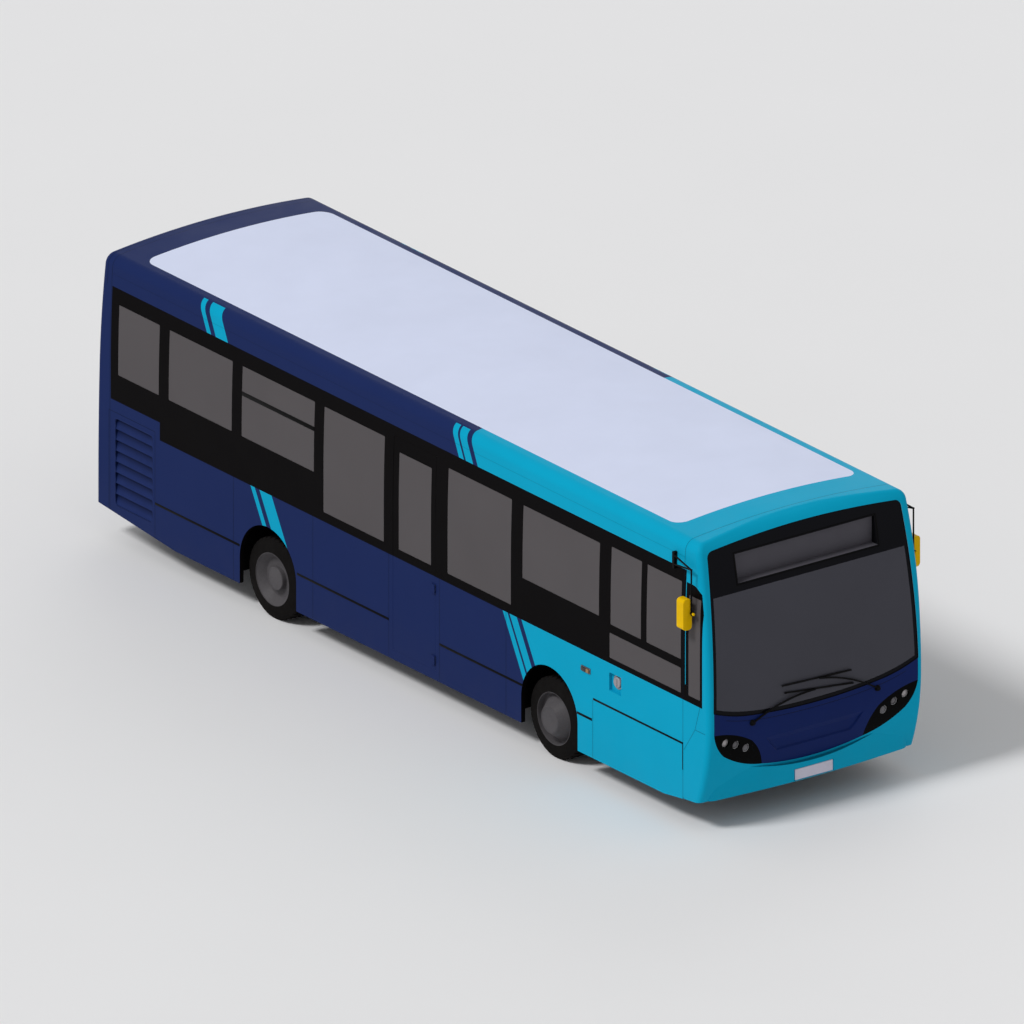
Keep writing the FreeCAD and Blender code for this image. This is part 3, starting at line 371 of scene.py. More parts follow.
# gloss navy with a fine seam that follows the screen's lower edge
def makeFrontPanelPaint(look):
    material, tree, shader = newMaterial("frontPanelPaint", 0.36, 0.0, 0.05)
    x, _, z = splitXyz(tree, "Object")
    x = abs(x)
    seam = (abs(screenFoot(x) - look["seamDrop"] - z) < 0.003) & (x < 1.02)
    cloud = clouded(tree, busLook["panelNavy"], 1.7, 5.0, 0.95, 1.06)
    link((seam * 0.7).mix(cloud, (0.002, 0.003, 0.01)), shader)
    link(noiseOf(tree, 3.0, 5.0).ranged(0.31, 0.41), shader, "Roughness")
    addBump(shader, noiseOf(tree, 320.0, 1.0) * 0.05 - seam, 0.0016)
    return material


# deep: how dark the painted shade at the top of each slat gets
grilleLook = {"foot": 0.396, "pitch": 0.1055, "deep": 0.62}


# navy slats with painted shade, darker up each slat, where it runs in behind the next
def makeGrillePaintAndShade(look):
    material, tree, shader = newMaterial("grillePaintAndShade", 0.5, 0.0, 0.04)
    z = splitXyz(tree, "Object")[2]
    phase = ((z - look["foot"]) / look["pitch"]).math("FRACT")
    # painted shade: each slat darkens towards its top, where the slat above overhangs it
    wave = phase.ranged(0.0, look["deep"], 0.25, 0.85, interpolation_type="SMOOTHSTEP")
    link(wave.mix(clouded(tree, busLook["navy"], 6.0, 4.0, 0.94, 1.08), (0.003, 0.006, 0.026)), shader)
    addBump(shader, noiseOf(tree, 320.0, 1.0), 0.0002)
    return material


# moquette: deep blue ground with small woven flecks
def makeCloth():
    material, tree, shader = newMaterial("seatCloth", 0.9, 0.0, 0.25)
    shader.inputs["Sheen Weight"].default_value = 0.25
    place = addNode(tree, "TexCoord").field("Object")
    flecks = addNode(tree, "TexVoronoi", {"Vector": place, "Scale": 46.0, "Randomness": 0.55})
    near = flecks.field("Distance") < 0.32
    pick = addNode(tree, "SeparateColor", {0: flecks.field("Color")}).field(0)
    color = noiseOf(tree, 5.0, 4.0).ranged(0.0, 1.0).mix((0.016, 0.03, 0.105), (0.024, 0.044, 0.15))
    color = (near & (pick > 0.55)).mix(color, (0.02, 0.22, 0.36))
    color = (near & (pick < 0.16)).mix(color, (0.3, 0.34, 0.42))
    threads = {"Vector": place, "Scale": 260.0, "Distortion": 0.6}
    warp, weft = (addNode(tree, "TexWave", threads, bands_direction=run).field("Fac") for run in "XZ")
    woven = warp + weft
    link((woven * 0.16).mix(color, (0.004, 0.008, 0.03)), shader)
    addBump(shader, woven, 0.0006)
    return material


# dark sheet flooring with a fleck
def makeFloorCover():
    material, tree, shader = newMaterial("floorCover", 0.7, 0.0, 0.35)
    flecks = noiseOf(tree, 420.0, 1.0)
    ground = noiseOf(tree, 3.0, 5.0).ranged(0.0, 1.0).mix((0.085, 0.086, 0.095), (0.115, 0.116, 0.125))
    link((flecks > 0.66).mix(ground, (0.28, 0.29, 0.32)), shader)
    addBump(shader, flecks, 0.0005)
    return material


# rubber: dull, dusty in patches, finely rough
def makeRubber(name, color):
    material, tree, shader = newMaterial(name, 0.85, 0.0, 0.03)
    link(noiseOf(tree, 9.0, 6.0).ranged(0.0, 0.05).mix(color, (0.055, 0.052, 0.048)), shader)
    link(noiseOf(tree, 20.0, 4.0).ranged(0.72, 0.92), shader, "Roughness")
    addBump(shader, noiseOf(tree, 190.0, 4.0), 0.0005)
    return material


# tinted glass with slow changes of shade
def makeTintedGlass(name, color, alpha):
    material, tree, shader = newMaterial(name, 0.1, 0.0, 0.06, alpha=alpha)
    link(clouded(tree, color, 0.8, 3.0, 0.96, 1.05), shader)
    return material


# a moulded lens: fine ribs under a smooth skin
def makeLens(name, color):
    material, tree, shader = newMaterial(name, 0.08, 0.0, 0.25, coat=0.2)
    look = {"Vector": addNode(tree, "TexCoord").field("Object"), "Scale": 34.0}
    ribs = addNode(tree, "TexWave", look, bands_direction="Z").field("Fac")
    link((ribs * 0.5).mix(color, [min(c * 1.5 + 0.01, 1.0) for c in color]), shader)
    addBump(shader, ribs, 0.0008)
    return material


# the sign's backplate: dark walls and a grey face of small unlit dots
def makeDisplayFinish():
    material, tree, shader = newMaterial("displayFinish", 0.55, 0.0, 0.06)
    x, y, z = splitXyz(tree, "Object")
    _, facingY, facingZ = splitXyz(tree, "Normal")
    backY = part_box("destination_box")[1].y - 0.018
    onBack = (y.within(backY - 0.0005, backY + 0.0005) & (facingY < -0.5)) | ((facingZ > 0.5) & (z < 2.5))
    wave = 2 * math.pi / 0.014
    dots = (x * wave).math("SINE") * (z * wave).math("SINE") > 0.35
    grey = noiseOf(tree, 2.0).ranged(0.0, 1.0).mix((0.084, 0.08, 0.096), (0.096, 0.092, 0.108))
    face = (dots * 0.35).mix(grey, (0.06, 0.058, 0.07))
    link(onBack.mix((0.004, 0.004, 0.0052), face), shader)
    addBump(shader, dots * onBack, 0.0008)
    return material


bodyPaint = makeBodyPaint(livery)
frontPanelPaint = makeFrontPanelPaint(screenLook)
screenGlass = makeScreenGlass(screenLook)
sideGlass = makeTintedGlass("sideGlass", busLook["sideGlass"], 0.9)
displayFinish = makeDisplayFinish()
floorCover = makeFloorCover()
grillePaintAndShade = makeGrillePaintAndShade(grilleLook)
seatCloth = makeCloth()
blackRubber = makeRubber("sealRubber", (0.0026, 0.0024, 0.0026))
tyreRubber = makeRubber("tyreRubber", (0.0062, 0.0055, 0.0054))
blackTrim = makeFinish("blackTrim", (0.003, 0.0028, 0.003), 0.46, specular=0.05, vary=0.1, grain=140.0)
lampBlack = makeFinish("lampBlack", (0.0006, 0.0006, 0.0007), 0.2, specular=0.03, vary=0.1, grain=4.0,
                       bump=0.0)
chassisBlack = makeFinish("chassisBlack", (0.028, 0.028, 0.03), 0.62, vary=0.25, grain=90.0, bump=0.0006)
engineGrey = makeFinish("engineGrey", (0.12, 0.12, 0.12), 0.7, vary=0.25, grain=45.0, bump=0.0012)
rimGrey = makeFinish("rimGrey", (0.08, 0.075, 0.08), 0.52, specular=0.1, vary=0.14, grain=50.0,
                     bump=0.0004)
cabGrey = makeFinish("cabGrey", (0.05, 0.05, 0.055), 0.68, grain=260.0, bump=0.0005)
railYellow = makeFinish("railYellow", (0.78, 0.44, 0.02), 0.34, specular=0.3, vary=0.06, grain=30.0)
mirrorYellow = makeFinish("mirrorYellow", (0.8, 0.485, 0.001), 0.36, specular=0.05, vary=0.06, grain=30.0,
                          bump=0.0003)
plateWhite = makeFinish("plateWhite", (0.62, 0.6, 0.71), 0.4, specular=0.1, vary=0.05, grain=120.0)
plateYellow = makeFinish("plateYellow", (0.72, 0.52, 0.05), 0.4, vary=0.05, grain=120.0)
satinSteel = makeFinish("satinSteel", (0.32, 0.32, 0.33), 0.36, metallic=0.9, grain=90.0)
darkChrome = makeFinish("darkChrome", (0.16, 0.15, 0.16), 0.22, metallic=1.0, vary=0.1, bump=0.0001)
capGrey = makeFinish("capGrey", (0.3, 0.28, 0.3), 0.45, specular=0.3, vary=0.08, grain=80.0)
mirrorGlass = makeFinish("mirrorGlass", (0.62, 0.64, 0.66), 0.04, metallic=1.0, vary=0.03, grain=3.0,
                         bump=0.0)
moulding = makeFinish("moulding", (0.2, 0.205, 0.215), 0.6, vary=0.08, grain=240.0, bump=0.0004)
clearLens = makeLens("clearLens", (0.4, 0.37, 0.38))
greyLens = makeLens("greyLens", (0.105, 0.1, 0.11))
smokeLens = makeLens("smokeLens", (0.03, 0.022, 0.02))
amberLens = makeLens("amberLens", (0.26, 0.15, 0.062))
redLens = makeLens("redLens", (0.42, 0.008, 0.008))
indicatorLens = makeLens("indicatorLens", (0.52, 0.135, 0.008))

slotMaterials = {
    "body_blue": bodyPaint, "body_turquoise": bodyPaint, "glass": sideGlass, "black_trim": blackTrim,
    "lamp": lampBlack, "display": displayFinish, "floor_grey": floorCover, "steel_dark": chassisBlack,
    "engine_grey": engineGrey, "rim_grey": rimGrey, "tyre": tyreRubber, "seat_cloth": seatCloth,
    "cab_grey": cabGrey, "rail_yellow": railYellow, "mirror_yellow": mirrorYellow,
}
ownMaterials = {"windscreen": screenGlass, "front_panel": frontPanelPaint, "wheel_boxes": blackTrim,
                "side_grille": grillePaintAndShade}

for part in record["subparts"]:
    for place in nodes[part["node"]].material_slots:
        place.material = ownMaterials.get(part["node"], slotMaterials[part["material_slot"]])
print("materials are on the solids")

bothSides = (("Right", -1), ("Left", 1))
weldDist = 1e-5


# small helpers for meshes
def meshOf(name, bm):
    mesh = bpy.data.meshes.new(name)
    bm.to_mesh(mesh)
    bm.free()
    return mesh


def shaped(shape, *values, **settings):
    # a new bmesh that holds one shape
    bm = bmesh.new()
    shape(bm, *values, **settings)
    return bm


def span(sign, first, second):
    # two distances from the middle as places on one side, the lower first
    return sorted((sign * first, sign * second))


def ease(bm, geom, offset, segments=2, affect="EDGES"):
    bmesh.ops.bevel(bm, geom=geom, offset=offset, segments=segments, profile=0.5, affect=affect, material=-1)


def extrude(bm, faces):
    # the points of the new faces
    made = bmesh.ops.extrude_face_region(bm, geom=faces)
    return [item for item in made["geom"] if isinstance(item, bmesh.types.BMVert)]


def addBlock(bm, low, high, bevel, segments=2):
    low, high = Vector(low), Vector(high)
    size = Matrix.Diagonal((*(high - low), 1.0))
    made = bmesh.ops.create_cube(bm, size=1.0, matrix=Matrix.Translation((low + high) / 2) @ size)
    ease(bm, list({edge for vert in made["verts"] for edge in vert.link_edges}), bevel, segments)


def addTurned(bm, profile, centre, axis=(1, 0, 0), steps=48, closed=False):
    # spins (along, radius) points about a line through centre
    axis = Vector(axis).normalized()
    side = Vector((0, 0, 1)) if abs(axis.z) < 0.9 else Vector((1, 0, 0))
    side = (side - axis * side.dot(axis)).normalized()
    centre = Vector(centre)
    verts = [bm.verts.new(centre + axis * along + side * radius) for along, radius in profile]
    pairs = list(zip(verts, verts[1:])) + ([(verts[-1], verts[0])] if closed else [])
    edges = [bm.edges.new(pair) for pair in pairs]
    bmesh.ops.spin(bm, geom=verts + edges, cent=centre, axis=axis, angle=2 * math.pi, steps=steps,
                   use_merge=True, use_duplicate=False)
    bmesh.ops.remove_doubles(bm, verts=bm.verts, dist=weldDist)


def addPrism(bm, corners, run):
    # a flat outline pushed along run
    face = bm.faces.new([bm.verts.new(corner) for corner in corners])
    bmesh.ops.translate(bm, verts=extrude(bm, [face]), vec=run)


def joinInto(bm, own):
    part = meshOf("joinedPart", own)
    bm.from_mesh(part)
    bpy.data.meshes.remove(part)


def roundedSheet(width, height, corner):
    bm = bmesh.new()
    made = bmesh.ops.create_grid(bm, x_segments=1, y_segments=1, size=0.5)
    bmesh.ops.scale(bm, verts=made["verts"], vec=(width, height, 1.0))
    ease(bm, made["verts"], corner, 5, "VERTICES")
    return bm


def addPlate(bm, middle, tall, wide, corner, thick):
    # an upright plate with rounded corners, raised rearwards from middle
    own = roundedSheet(tall, wide, corner)
    moved = extrude(own, list(own.faces))
    bmesh.ops.translate(own, verts=moved, vec=(0, 0, thick))
    ease(own, [edge for edge in own.edges if all(vert in moved for vert in edge.verts)], abs(thick) * 0.3)
    turn = Matrix(((0, 0, 1), (1, 0, 0), (0, 1, 0))).transposed().to_4x4()
    bmesh.ops.transform(own, verts=own.verts, matrix=Matrix.Translation(middle) @ turn)
    joinInto(bm, own)


def addTube(bm, points, radius, closed=True):
    # a round strip along a run of points
    data = bpy.data.curves.new("tubeRun", "CURVE")
    data.dimensions = "3D"
    data.bevel_depth = radius
    data.bevel_resolution = 2
    data.use_fill_caps = not closed
    spline = data.splines.new("POLY")
    spline.points.add(len(points) - 1)
    for target, point in zip(spline.points, points):
        target.co = (*point, 1.0)
    spline.use_cyclic_u = closed
    carrier = bpy.data.objects.new("tubeRun", data)
    made = bpy.data.meshes.new_from_object(carrier)
    bm.from_mesh(made)
    bpy.data.objects.remove(carrier)
    bpy.data.curves.remove(data)
    bpy.data.meshes.remove(made)


def weldedCopy(node):
    bm = bmesh.new()
    bm.from_mesh(nodes[node].data)
    bmesh.ops.remove_doubles(bm, verts=bm.verts, dist=weldDist)
    return bm


def edgeLoops(node, facing):
    # closed runs of points round the outer faces of a node that look along facing
    facing = Vector(facing)
    bm = weldedCopy(node)
    bm.normal_update()
    others = [face for face in bm.faces
              if face.normal.dot(facing) < 0.6 or face.calc_center_median().dot(facing) < 0]
    bmesh.ops.delete(bm, geom=others, context="FACES")
    left = {edge for edge in bm.edges if edge.is_boundary}
    loops = []
    while left:
        edge = min(left, key=lambda item: item.index)
        left.discard(edge)
        run = list(edge.verts)
        while True:
            onwards = [item for item in run[-1].link_edges if item in left]
            if not onwards:
                break
            left.discard(onwards[0])
            run.append(onwards[0].other_vert(run[-1]))
        spaced = [run[0].co.copy()]
        for vert in run[1:-1]:
            if (vert.co - spaced[-1]).length > 0.004:
                spaced.append(vert.co.copy())
        loops.append(spaced)
    bm.free()
    return loops


def islandsOf(node):
    # boxes of the separate solids in a node, as (low, high) corners
    bm = weldedCopy(node)
    left = set(bm.verts)
    boxes = []
    while left:
        grown = [left.pop()]
        found = list(grown)
        while grown:
            vert = grown.pop()
            fresh = {edge.other_vert(vert) for edge in vert.link_edges} & left
            left -= fresh
            grown += fresh
            found += fresh
        low, high = (Vector([pick(vert.co[i] for vert in found) for i in range(3)]) for pick in (min, max))
        boxes.append((low, high))
    bm.free()
    boxes.sort(key=lambda pair: [round(value, 3) for value in pair[0]])
    return boxes


def finishPiece(name, bm, material, smoothAngle=35, body="root"):
    bmesh.ops.recalc_face_normals(bm, faces=bm.faces)
    mesh = meshOf(name, bm)
    mesh.materials.append(material)
    mesh.shade_smooth()
    mesh.set_sharp_from_angle(angle=math.radians(smoothAngle))
    piece = placeObject(name, mesh)
    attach(piece, body)
    return piece


sideLook = {"half": 1.22, "leanFrom": 1.7, "leanRadius": 16.35}
rearLook = {"bendFrom": 0.6, "bendRadius": 30.9}


def bendAt(rise, radius):
    # how far an arc falls back at a rise
    return radius - math.sqrt(radius ** 2 - rise ** 2)


def sideX(z):
    # how far out the side panel stands at a height
    return sideLook["half"] - bendAt(max(z - sideLook["leanFrom"], 0.0), sideLook["leanRadius"])


def rearY(z):
    # how far back the rear panel stands at a height
    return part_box("rear_cap")[1].y - bendAt(z - rearLook["bendFrom"], rearLook["bendRadius"])


# tyres: same form as the solids, with grooves, sipes and a raised bead line
tyreLook = {"wheelX": 1.043, "radius": 0.391, "bead": 0.2525, "half": 0.1125, "rimFace": 0.127,
            "groove": 0.009, "grooveHalf": 0.004, "grooves": (-0.055, -0.019, 0.019, 0.055), "steps": 144,
            "sipeEvery": 4, "sipeDepth": 0.007,
            "foot": ((0.022, 0.0), (0.016, 0.006), (0.013, 0.014), (0.006, 0.026)),
            "wall": ((0.0012, -0.022), (0.0, 0.0), (0.001, 0.018), (0.0045, 0.02), (0.0045, 0.026),
                     (0.0028, 0.028)),
            "shoulder": ((0.006, -0.026), (0.0085, -0.014), (0.012, -0.006), (0.02, 0.0)),
            "flare": ((0.002, 0.0), (0.0, 0.004), (0.001, 0.016), (0.0042, 0.04), (0.008, 0.062),
                      (0.0118, 0.082)),
            "flaredShoulder": ((0.001, -0.046), (0.0042, -0.03), (0.0066, -0.027), (0.0066, -0.023),
                               (0.0058, -0.021), (0.0086, -0.014), (0.0125, -0.006), (0.02, 0.0))}


def tyreProfile(look, spread):
    # half sections from bead to tread: the outer wall of a visible tyre spreads to the rim's edge
    r1, r0 = look["radius"], look["bead"]
    half, middle = look["half"], (r0 + r1) / 2 - 0.004

    def near(depth, radius, offsets):
        return [(depth - a, radius + b) for a, b in offsets]

    plain = near(half, r0, look["foot"]) + near(half, middle, look["wall"]) + near(half, r1, look["shoulder"])
    flared = near(look["rimFace"], r0, look["flare"]) + near(half, r1, look["flaredShoulder"])
    tread = []
    for place in look["grooves"]:
        width, depth = look["grooveHalf"], look["groove"]
        tread += [(place - width, r1), (place - width * 0.7, r1 - depth), (place + width * 0.7, r1 - depth),
                  (place + width, r1)]
    left, right = (flared if side == spread else plain for side in (-1, 1))
    return [(-a, r) for a, r in left] + tread + list(reversed(right))


def addTyre(bm, centre, look, spread):
    addTurned(bm, tyreProfile(look, spread), centre, steps=look["steps"], closed=True)
    rows = {}
    for face in bm.faces:
        mid = face.calc_center_median() - centre
        onWall = abs(mid.x) > look["half"] or math.hypot(mid.y, mid.z) < look["radius"] - 0.012
        if onWall or abs(mid.x) < look["grooves"][-1] + 0.003:
            continue
        step = round(math.atan2(mid.z, mid.y) / (2 * math.pi) * look["steps"] - 0.5)
        if step % look["sipeEvery"] == 0:
            rows.setdefault((step, mid.x > 0), []).append(face)
    for faces in rows.values():
        for vert in extrude(bm, faces):
            arm = Vector((0, vert.co.y - centre.y, vert.co.z - centre.z)).normalized()
            vert.co -= arm * look["sipeDepth"]
        bmesh.ops.delete(bm, geom=faces, context="FACES_ONLY")


def makeTyres():
    for node, body in (("front_tyre_right", "front_wheel_right"), ("front_tyre_left", "front_wheel_left"),
                       ("rear_tyres_right", "rear_wheels_right"), ("rear_tyres_left", "rear_wheels_left")):
        bm = bmesh.new()
        sign = -1 if "right" in node else 1
        for low, high in islandsOf(node):
            middle = (low + high) / 2
            outer = abs(middle.x) > 0.9
            middle.x = sign * tyreLook["wheelX"] if outer else middle.x
            joinInto(bm, shaped(addTyre, middle, tyreLook, sign if outer else 0))
        name = node.replace("_tyre", "TyreTread").replace("_", "")
        piece = finishPiece(name, bm, tyreRubber, 30, body)
        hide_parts(node)


# wheels: the joint round each hub cap
wheelLook = {"frontCap": 0.118, "rearCap": 0.104, "frontFace": 0.175, "rearFace": 0.095}


def makeWheelDetails():
    for side, sign in bothSides:
        for axle, node in (("front", "front_wheel_"), ("rear", "rear_wheels_")):
            node += side.lower()
            low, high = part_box(node)
            face = tyreLook["wheelX"] + wheelLook[axle + "Face"]
            ring = wheelLook[axle + "Cap"]
            profile = [(-0.004, ring - 0.004), (0.0015, ring - 0.004), (0.0025, ring - 0.001),
                       (0.0015, ring + 0.002), (-0.004, ring + 0.002)]
            centre = (sign * face, (low.y + high.y) / 2, (low.z + high.z) / 2)
            bm = shaped(addTurned, profile, centre, (sign, 0, 0), 56, closed=True)
            finishPiece(axle + "HubTrim" + side, bm, rimGrey, 30, node)


# side trim: rub lines, window rubbers, hopper bar
rubLines = [(-0.551, -1.814), (-2.634, -2.864), (1.606, 0.216), (3.758, 2.476)]
rubLook = {"low": 0.588, "high": 0.612, "proud": 0.003, "highLow": 0.8, "highHigh": 0.82, "back": 1.215,
           "frontStart": -2.879, "frontEnd": -4.244, "dropTo": 0.55, "dropWidth": 0.012, "ease": 0.0025}


def makeRubLines():
    look = rubLook
    for side, sign in bothSides:
        lines = [(front, rear, look["low"], look["high"]) for rear, front in rubLines]
        if sign < 0:
            end = look["frontEnd"]
            lines += [(end, look["frontStart"], look["highLow"], look["highHigh"]),
                      (end, end + look["dropWidth"], look["dropTo"], look["highHigh"])]
        bm = bmesh.new()
        x0, x1 = span(sign, look["back"], sideLook["half"] + look["proud"])
        for front, rear, low, high in lines:
            addBlock(bm, (x0, front, low), (x1, rear, high), look["ease"])
        finishPiece("rubLines" + side, bm, blackTrim)


def addSideRing(bm, look):
    # a ring on the driver's side panel round an opening, bent with the side's lean
    outset, middle = look["outset"], (look["front"] + look["rear"]) / 2
    centre = (look["low"] + look["high"]) / 2
    ring = roundedSheet(look["rear"] - look["front"] + 2 * outset, look["high"] - look["low"] + 2 * outset,
                        look["corner"] + outset)
    face = max(ring.faces, key=lambda item: item.calc_area())
    bmesh.ops.inset_region(ring, faces=[face], thickness=look["width"], depth=0.0, use_boundary=True)
    bmesh.ops.delete(ring, geom=[face], context="FACES_ONLY")
    longEdges = [edge for edge in ring.edges if edge.calc_length() > 0.3]
    bmesh.ops.subdivide_edges(ring, edges=longEdges, cuts=5, use_grid_fill=True)
    raised = set(extrude(ring, list(ring.faces)))
    for vert in ring.verts:
        y, z = middle + vert.co.x, centre + vert.co.y
        vert.co = (-(sideX(z) + look["proud" if vert in raised else "back"]), y, z)
    joinInto(bm, ring)


sealLook = {"radius": 0.0042, "screenRadius": 0.0056}
seals = [
    ("windscreenSeal", "windscreen", (0, -1, 0), "root"),
    ("windowSealsRight", "saloon_glass", (-1, 0, 0), "root"),
    ("windowSealsLeft", "saloon_glass", (1, 0, 0), "root"),
    ("rearWindowSeal", "saloon_glass", (0, 1, 0), "root"),
    ("emergencyWindowSeal", "emergency_door_glass", (-1, 0, 0), "emergency_door"),
    ("frontDoorWindowSeal", "front_door_glass", (1, 0, 0), "front_door_leaf"),
    ("rearDoorWindowSeal", "rear_door_glass", (1, 0, 0), "rear_door_leaf"),
]
doorSeal = {"outset": 0.0006, "width": 0.007, "proud": -0.0012, "back": -0.012, "corner": 0.003,
            "front": -0.494, "rear": 0.156, "low": 0.318, "high": 2.42}


def makeSeals():
    for name, node, facing, body in seals:
        bm = bmesh.new()
        radius = sealLook["screenRadius" if node == "windscreen" else "radius"]
        for loop in edgeLoops(node, facing):
            addTube(bm, loop, radius)
        finishPiece(name, bm, blackRubber, 60, body)
    finishPiece("emergencyDoorSeal", shaped(addSideRing, doorSeal), bodyPaint)


hopper = {"low": 2.074, "high": 2.114, "front": 1.357, "rear": 2.45, "catch": (1.86, 1.94)}


def makeHopperBars():
    low, high, (catchFront, catchRear) = hopper["low"], hopper["high"], hopper["catch"]
    x = sideX(high)
    for side, sign in bothSides:
        x0, x1 = span(sign, x - 0.012, x + 0.001)
        bm = shaped(addBlock, (x0, hopper["front"], low), (x1, hopper["rear"], high), 0.003)
        x0, x1 = span(sign, x - 0.03, x - 0.013)
        addBlock(bm, (x0, catchFront, low + 0.004), (x1, catchRear, high - 0.004), 0.004)
        finishPiece("hopperBar" + side, bm, blackTrim)


# side fittings ahead of the front wheel: repeater lamp and filler
repeater = {"y": -2.772, "z": 1.063, "length": 0.14, "height": 0.056, "base": (1.214, 1.229),
            "lens": (1.2285, 1.24), "rim": 0.01}


def makeRepeaters():
    half, tall = repeater["length"] / 2, repeater["height"] / 2
    y, z, rim = repeater["y"], repeater["z"], repeater["rim"]
    parts = (("Base", "base", y - half, y + half, 0.0, 3, darkChrome),
             ("Clear", "lens", y - half + 0.06, y + half - rim, rim, 4, smokeLens),
             ("Amber", "lens", y - half + 0.012, y - half + 0.056, rim, 4, amberLens))
    for side, sign in bothSides:
        for name, depth, front, rear, inset, segments, material in parts:
            x0, x1 = span(sign, *repeater[depth])
            low, high = (x0, front, z - tall + inset), (x1, rear, z + tall - inset)
            bm = shaped(addBlock, low, high, 0.006, segments)
            finishPiece("repeater" + side + name, bm, material)


# the cap in the filler recess of the driver's side panel
filler = {"floorX": 1.188, "capY": -3.224, "capZ": 1.076, "capR": 0.052}


def makeFiller():
    y, z, radius, x = filler["capY"], filler["capZ"], filler["capR"], -filler["floorX"]
    outwards = (-1, 0, 0)
    cap = [(-0.002, 0.0), (-0.002, radius), (0.018, radius), (0.024, radius - 0.006), (0.024, 0.0)]
    bm = shaped(addTurned, cap, (x, y, z), outwards, 44)
    addBlock(bm, (x - 0.03, y - 0.008, z - 0.036), (x - 0.022, y + 0.008, z + 0.036), 0.0035)
    finishPiece("fillerCap", bm, capGrey)
    collar = [(0.0, radius + 0.004), (0.006, radius + 0.004), (0.006, radius + 0.016), (0.0, radius + 0.016)]
    bm = shaped(addTurned, collar, (x, y, z), outwards, 44, closed=True)
    finishPiece("fillerCollar", bm, satinSteel)


# lamps
frontLamps = {"places": ((1.021, 0.882), (0.899, 0.836), (0.781, 0.779)), "radius": 0.0405, "faceY": -4.596}
tailLamps = {"x": 1.07, "radius": 0.044,
             "places": ((0.745, "red"), (0.865, "red"), (0.985, "amber"), (1.105, "clear"), (1.225, "red"))}
lampDepth = 0.01


def addLamp(rings, lens, centre, axis, radius):
    # a reflector ring and its domed lens
    addTurned(rings, [(-lampDepth, radius - 0.004), (0.003, radius - 0.004), (0.004, radius - 0.001),
                      (0.002, radius), (-lampDepth, radius)], centre, axis, 32, closed=True)
    addTurned(lens, [(-lampDepth + 0.002, 0.0), (-lampDepth + 0.002, radius - 0.0045),
                     (0.001, radius - 0.0045), (0.005, radius * 0.7), (0.0075, radius * 0.35), (0.008, 0.0)],
              centre, axis, 32)


def makeFrontLamps():
    for side, sign in bothSides:
        rings, clear, grey = bmesh.new(), bmesh.new(), bmesh.new()
        for i, (x, z) in enumerate(frontLamps["places"]):
            centre = (sign * x, frontLamps["faceY"], z)
            addLamp(rings, clear if i == 0 else grey, centre, (0, -1, 0), frontLamps["radius"])
        finishPiece("frontLampRings" + side, rings, satinSteel)
        finishPiece("dippedLens" + side, clear, clearLens)
        finishPiece("mainLens" + side, grey, greyLens)


def makeTailLamps():
    lenses = {"red": redLens, "amber": indicatorLens, "clear": clearLens}
    for side, sign in bothSides:
        rings = bmesh.new()
        glass = {color: bmesh.new() for color in lenses}
        for z, color in tailLamps["places"]:
            centre = (sign * tailLamps["x"], rearY(z), z)
            addLamp(rings, glass[color], centre, (0, 1, 0.01), tailLamps["radius"])
        finishPiece("tailLampRings" + side, rings, satinSteel)
        for color, bm in glass.items():
            finishPiece(color + "TailLens" + side, bm, lenses[color])


# blank plates
plateLook = {"front": ((-0.213, -4.602, 0.321), (0.213, -4.589, 0.425)), "rearHalf": 0.262,
             "rearLow": 0.385, "rearHigh": 0.5, "thick": 0.006, "ease": 0.004}


def makePlates():
    look = plateLook
    finishPiece("frontPlate", shaped(addBlock, *look["front"], look["ease"], 3), plateWhite)
    half, thick, y = look["rearHalf"], look["thick"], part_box("rear_bumper")[1].y
    low, high = (-half, y - thick, look["rearLow"]), (half, y + thick, look["rearHigh"])
    finishPiece("rearPlate", shaped(addBlock, low, high, look["ease"], 3), plateYellow)


# seats: shells, pans, legs and grab rods as one piece, and every pad as its own
seatRows = ((-1.56, 0.36, (-1, 1)), (-0.8, 0.36, (1,)), (0.56, 0.36, (-1, 1)),
            (2.56, 0.66, (-1, 1)), (3.44, 1.06, (-1, 1)))
seatLook = {
    "inner": 0.37, "outer": 1.15, "placeWidth": 0.39, "gap": 0.006, "pan": (0.004, 0.412, 0.372, 0.392),
    "back": ((0.443, 0.372), (0.47, 0.366), (0.59, 1.008), (0.582, 1.024), (0.56, 1.026), (0.545, 1.01)),
    "baseAt": (0.2, 0.43), "backAt": (0.452, 0.735), "lean": 11.9, "fill": 0.8,
    "leg": (((0.0, 0.09, 0.002), (0.04, 0.34, 0.02), 0.004),
            ((0.006, 0.15, 0.018), (0.034, 0.27, 0.374), 0.006)),
    "legsIn": (0.15, 0.19), "rail": ((0.06, 0.572, 0.96), (0.06, 0.598, 1.03), (0.085, 0.602, 1.048)),
}
padLook = {
    "base": {"size": (0.364, 0.384, 0.066), "voxel": 0.016, "cap": 0.01, "corner": 0.03},
    "back": {"size": (0.364, 0.058, 0.53), "voxel": 0.016, "cap": 0.009, "corner": 0.024},
    "driverBase": {"size": (0.45, 0.385, 0.088), "voxel": 0.018, "cap": 0.012, "corner": 0.034},
    "driverBack": {"size": (0.45, 0.078, 0.57), "voxel": 0.018, "cap": 0.012, "corner": 0.032},
}
sewnLook = {"seamIn": 0.026, "seamHalf": 0.007, "seamDeep": 0.004, "channelAt": 0.22, "channelHalf": 0.008,
            "channelDeep": 0.0035, "channelIn": 0.03}
driverSeat = {
    "x": -0.7, "half": 0.235, "baseAt": (-3.345, 0.735), "backAt": (-3.058, 1.085), "lean": 10.5,
    "shell": ((-3.13, 0.672), (-3.092, 0.66), (-2.96, 1.4), (-2.985, 1.418), (-3.01, 1.408)),
    "pan": (-3.545, -3.12, 0.66, 0.688), "stalk": (-3.33, 0.1), "floor": 0.36,
}


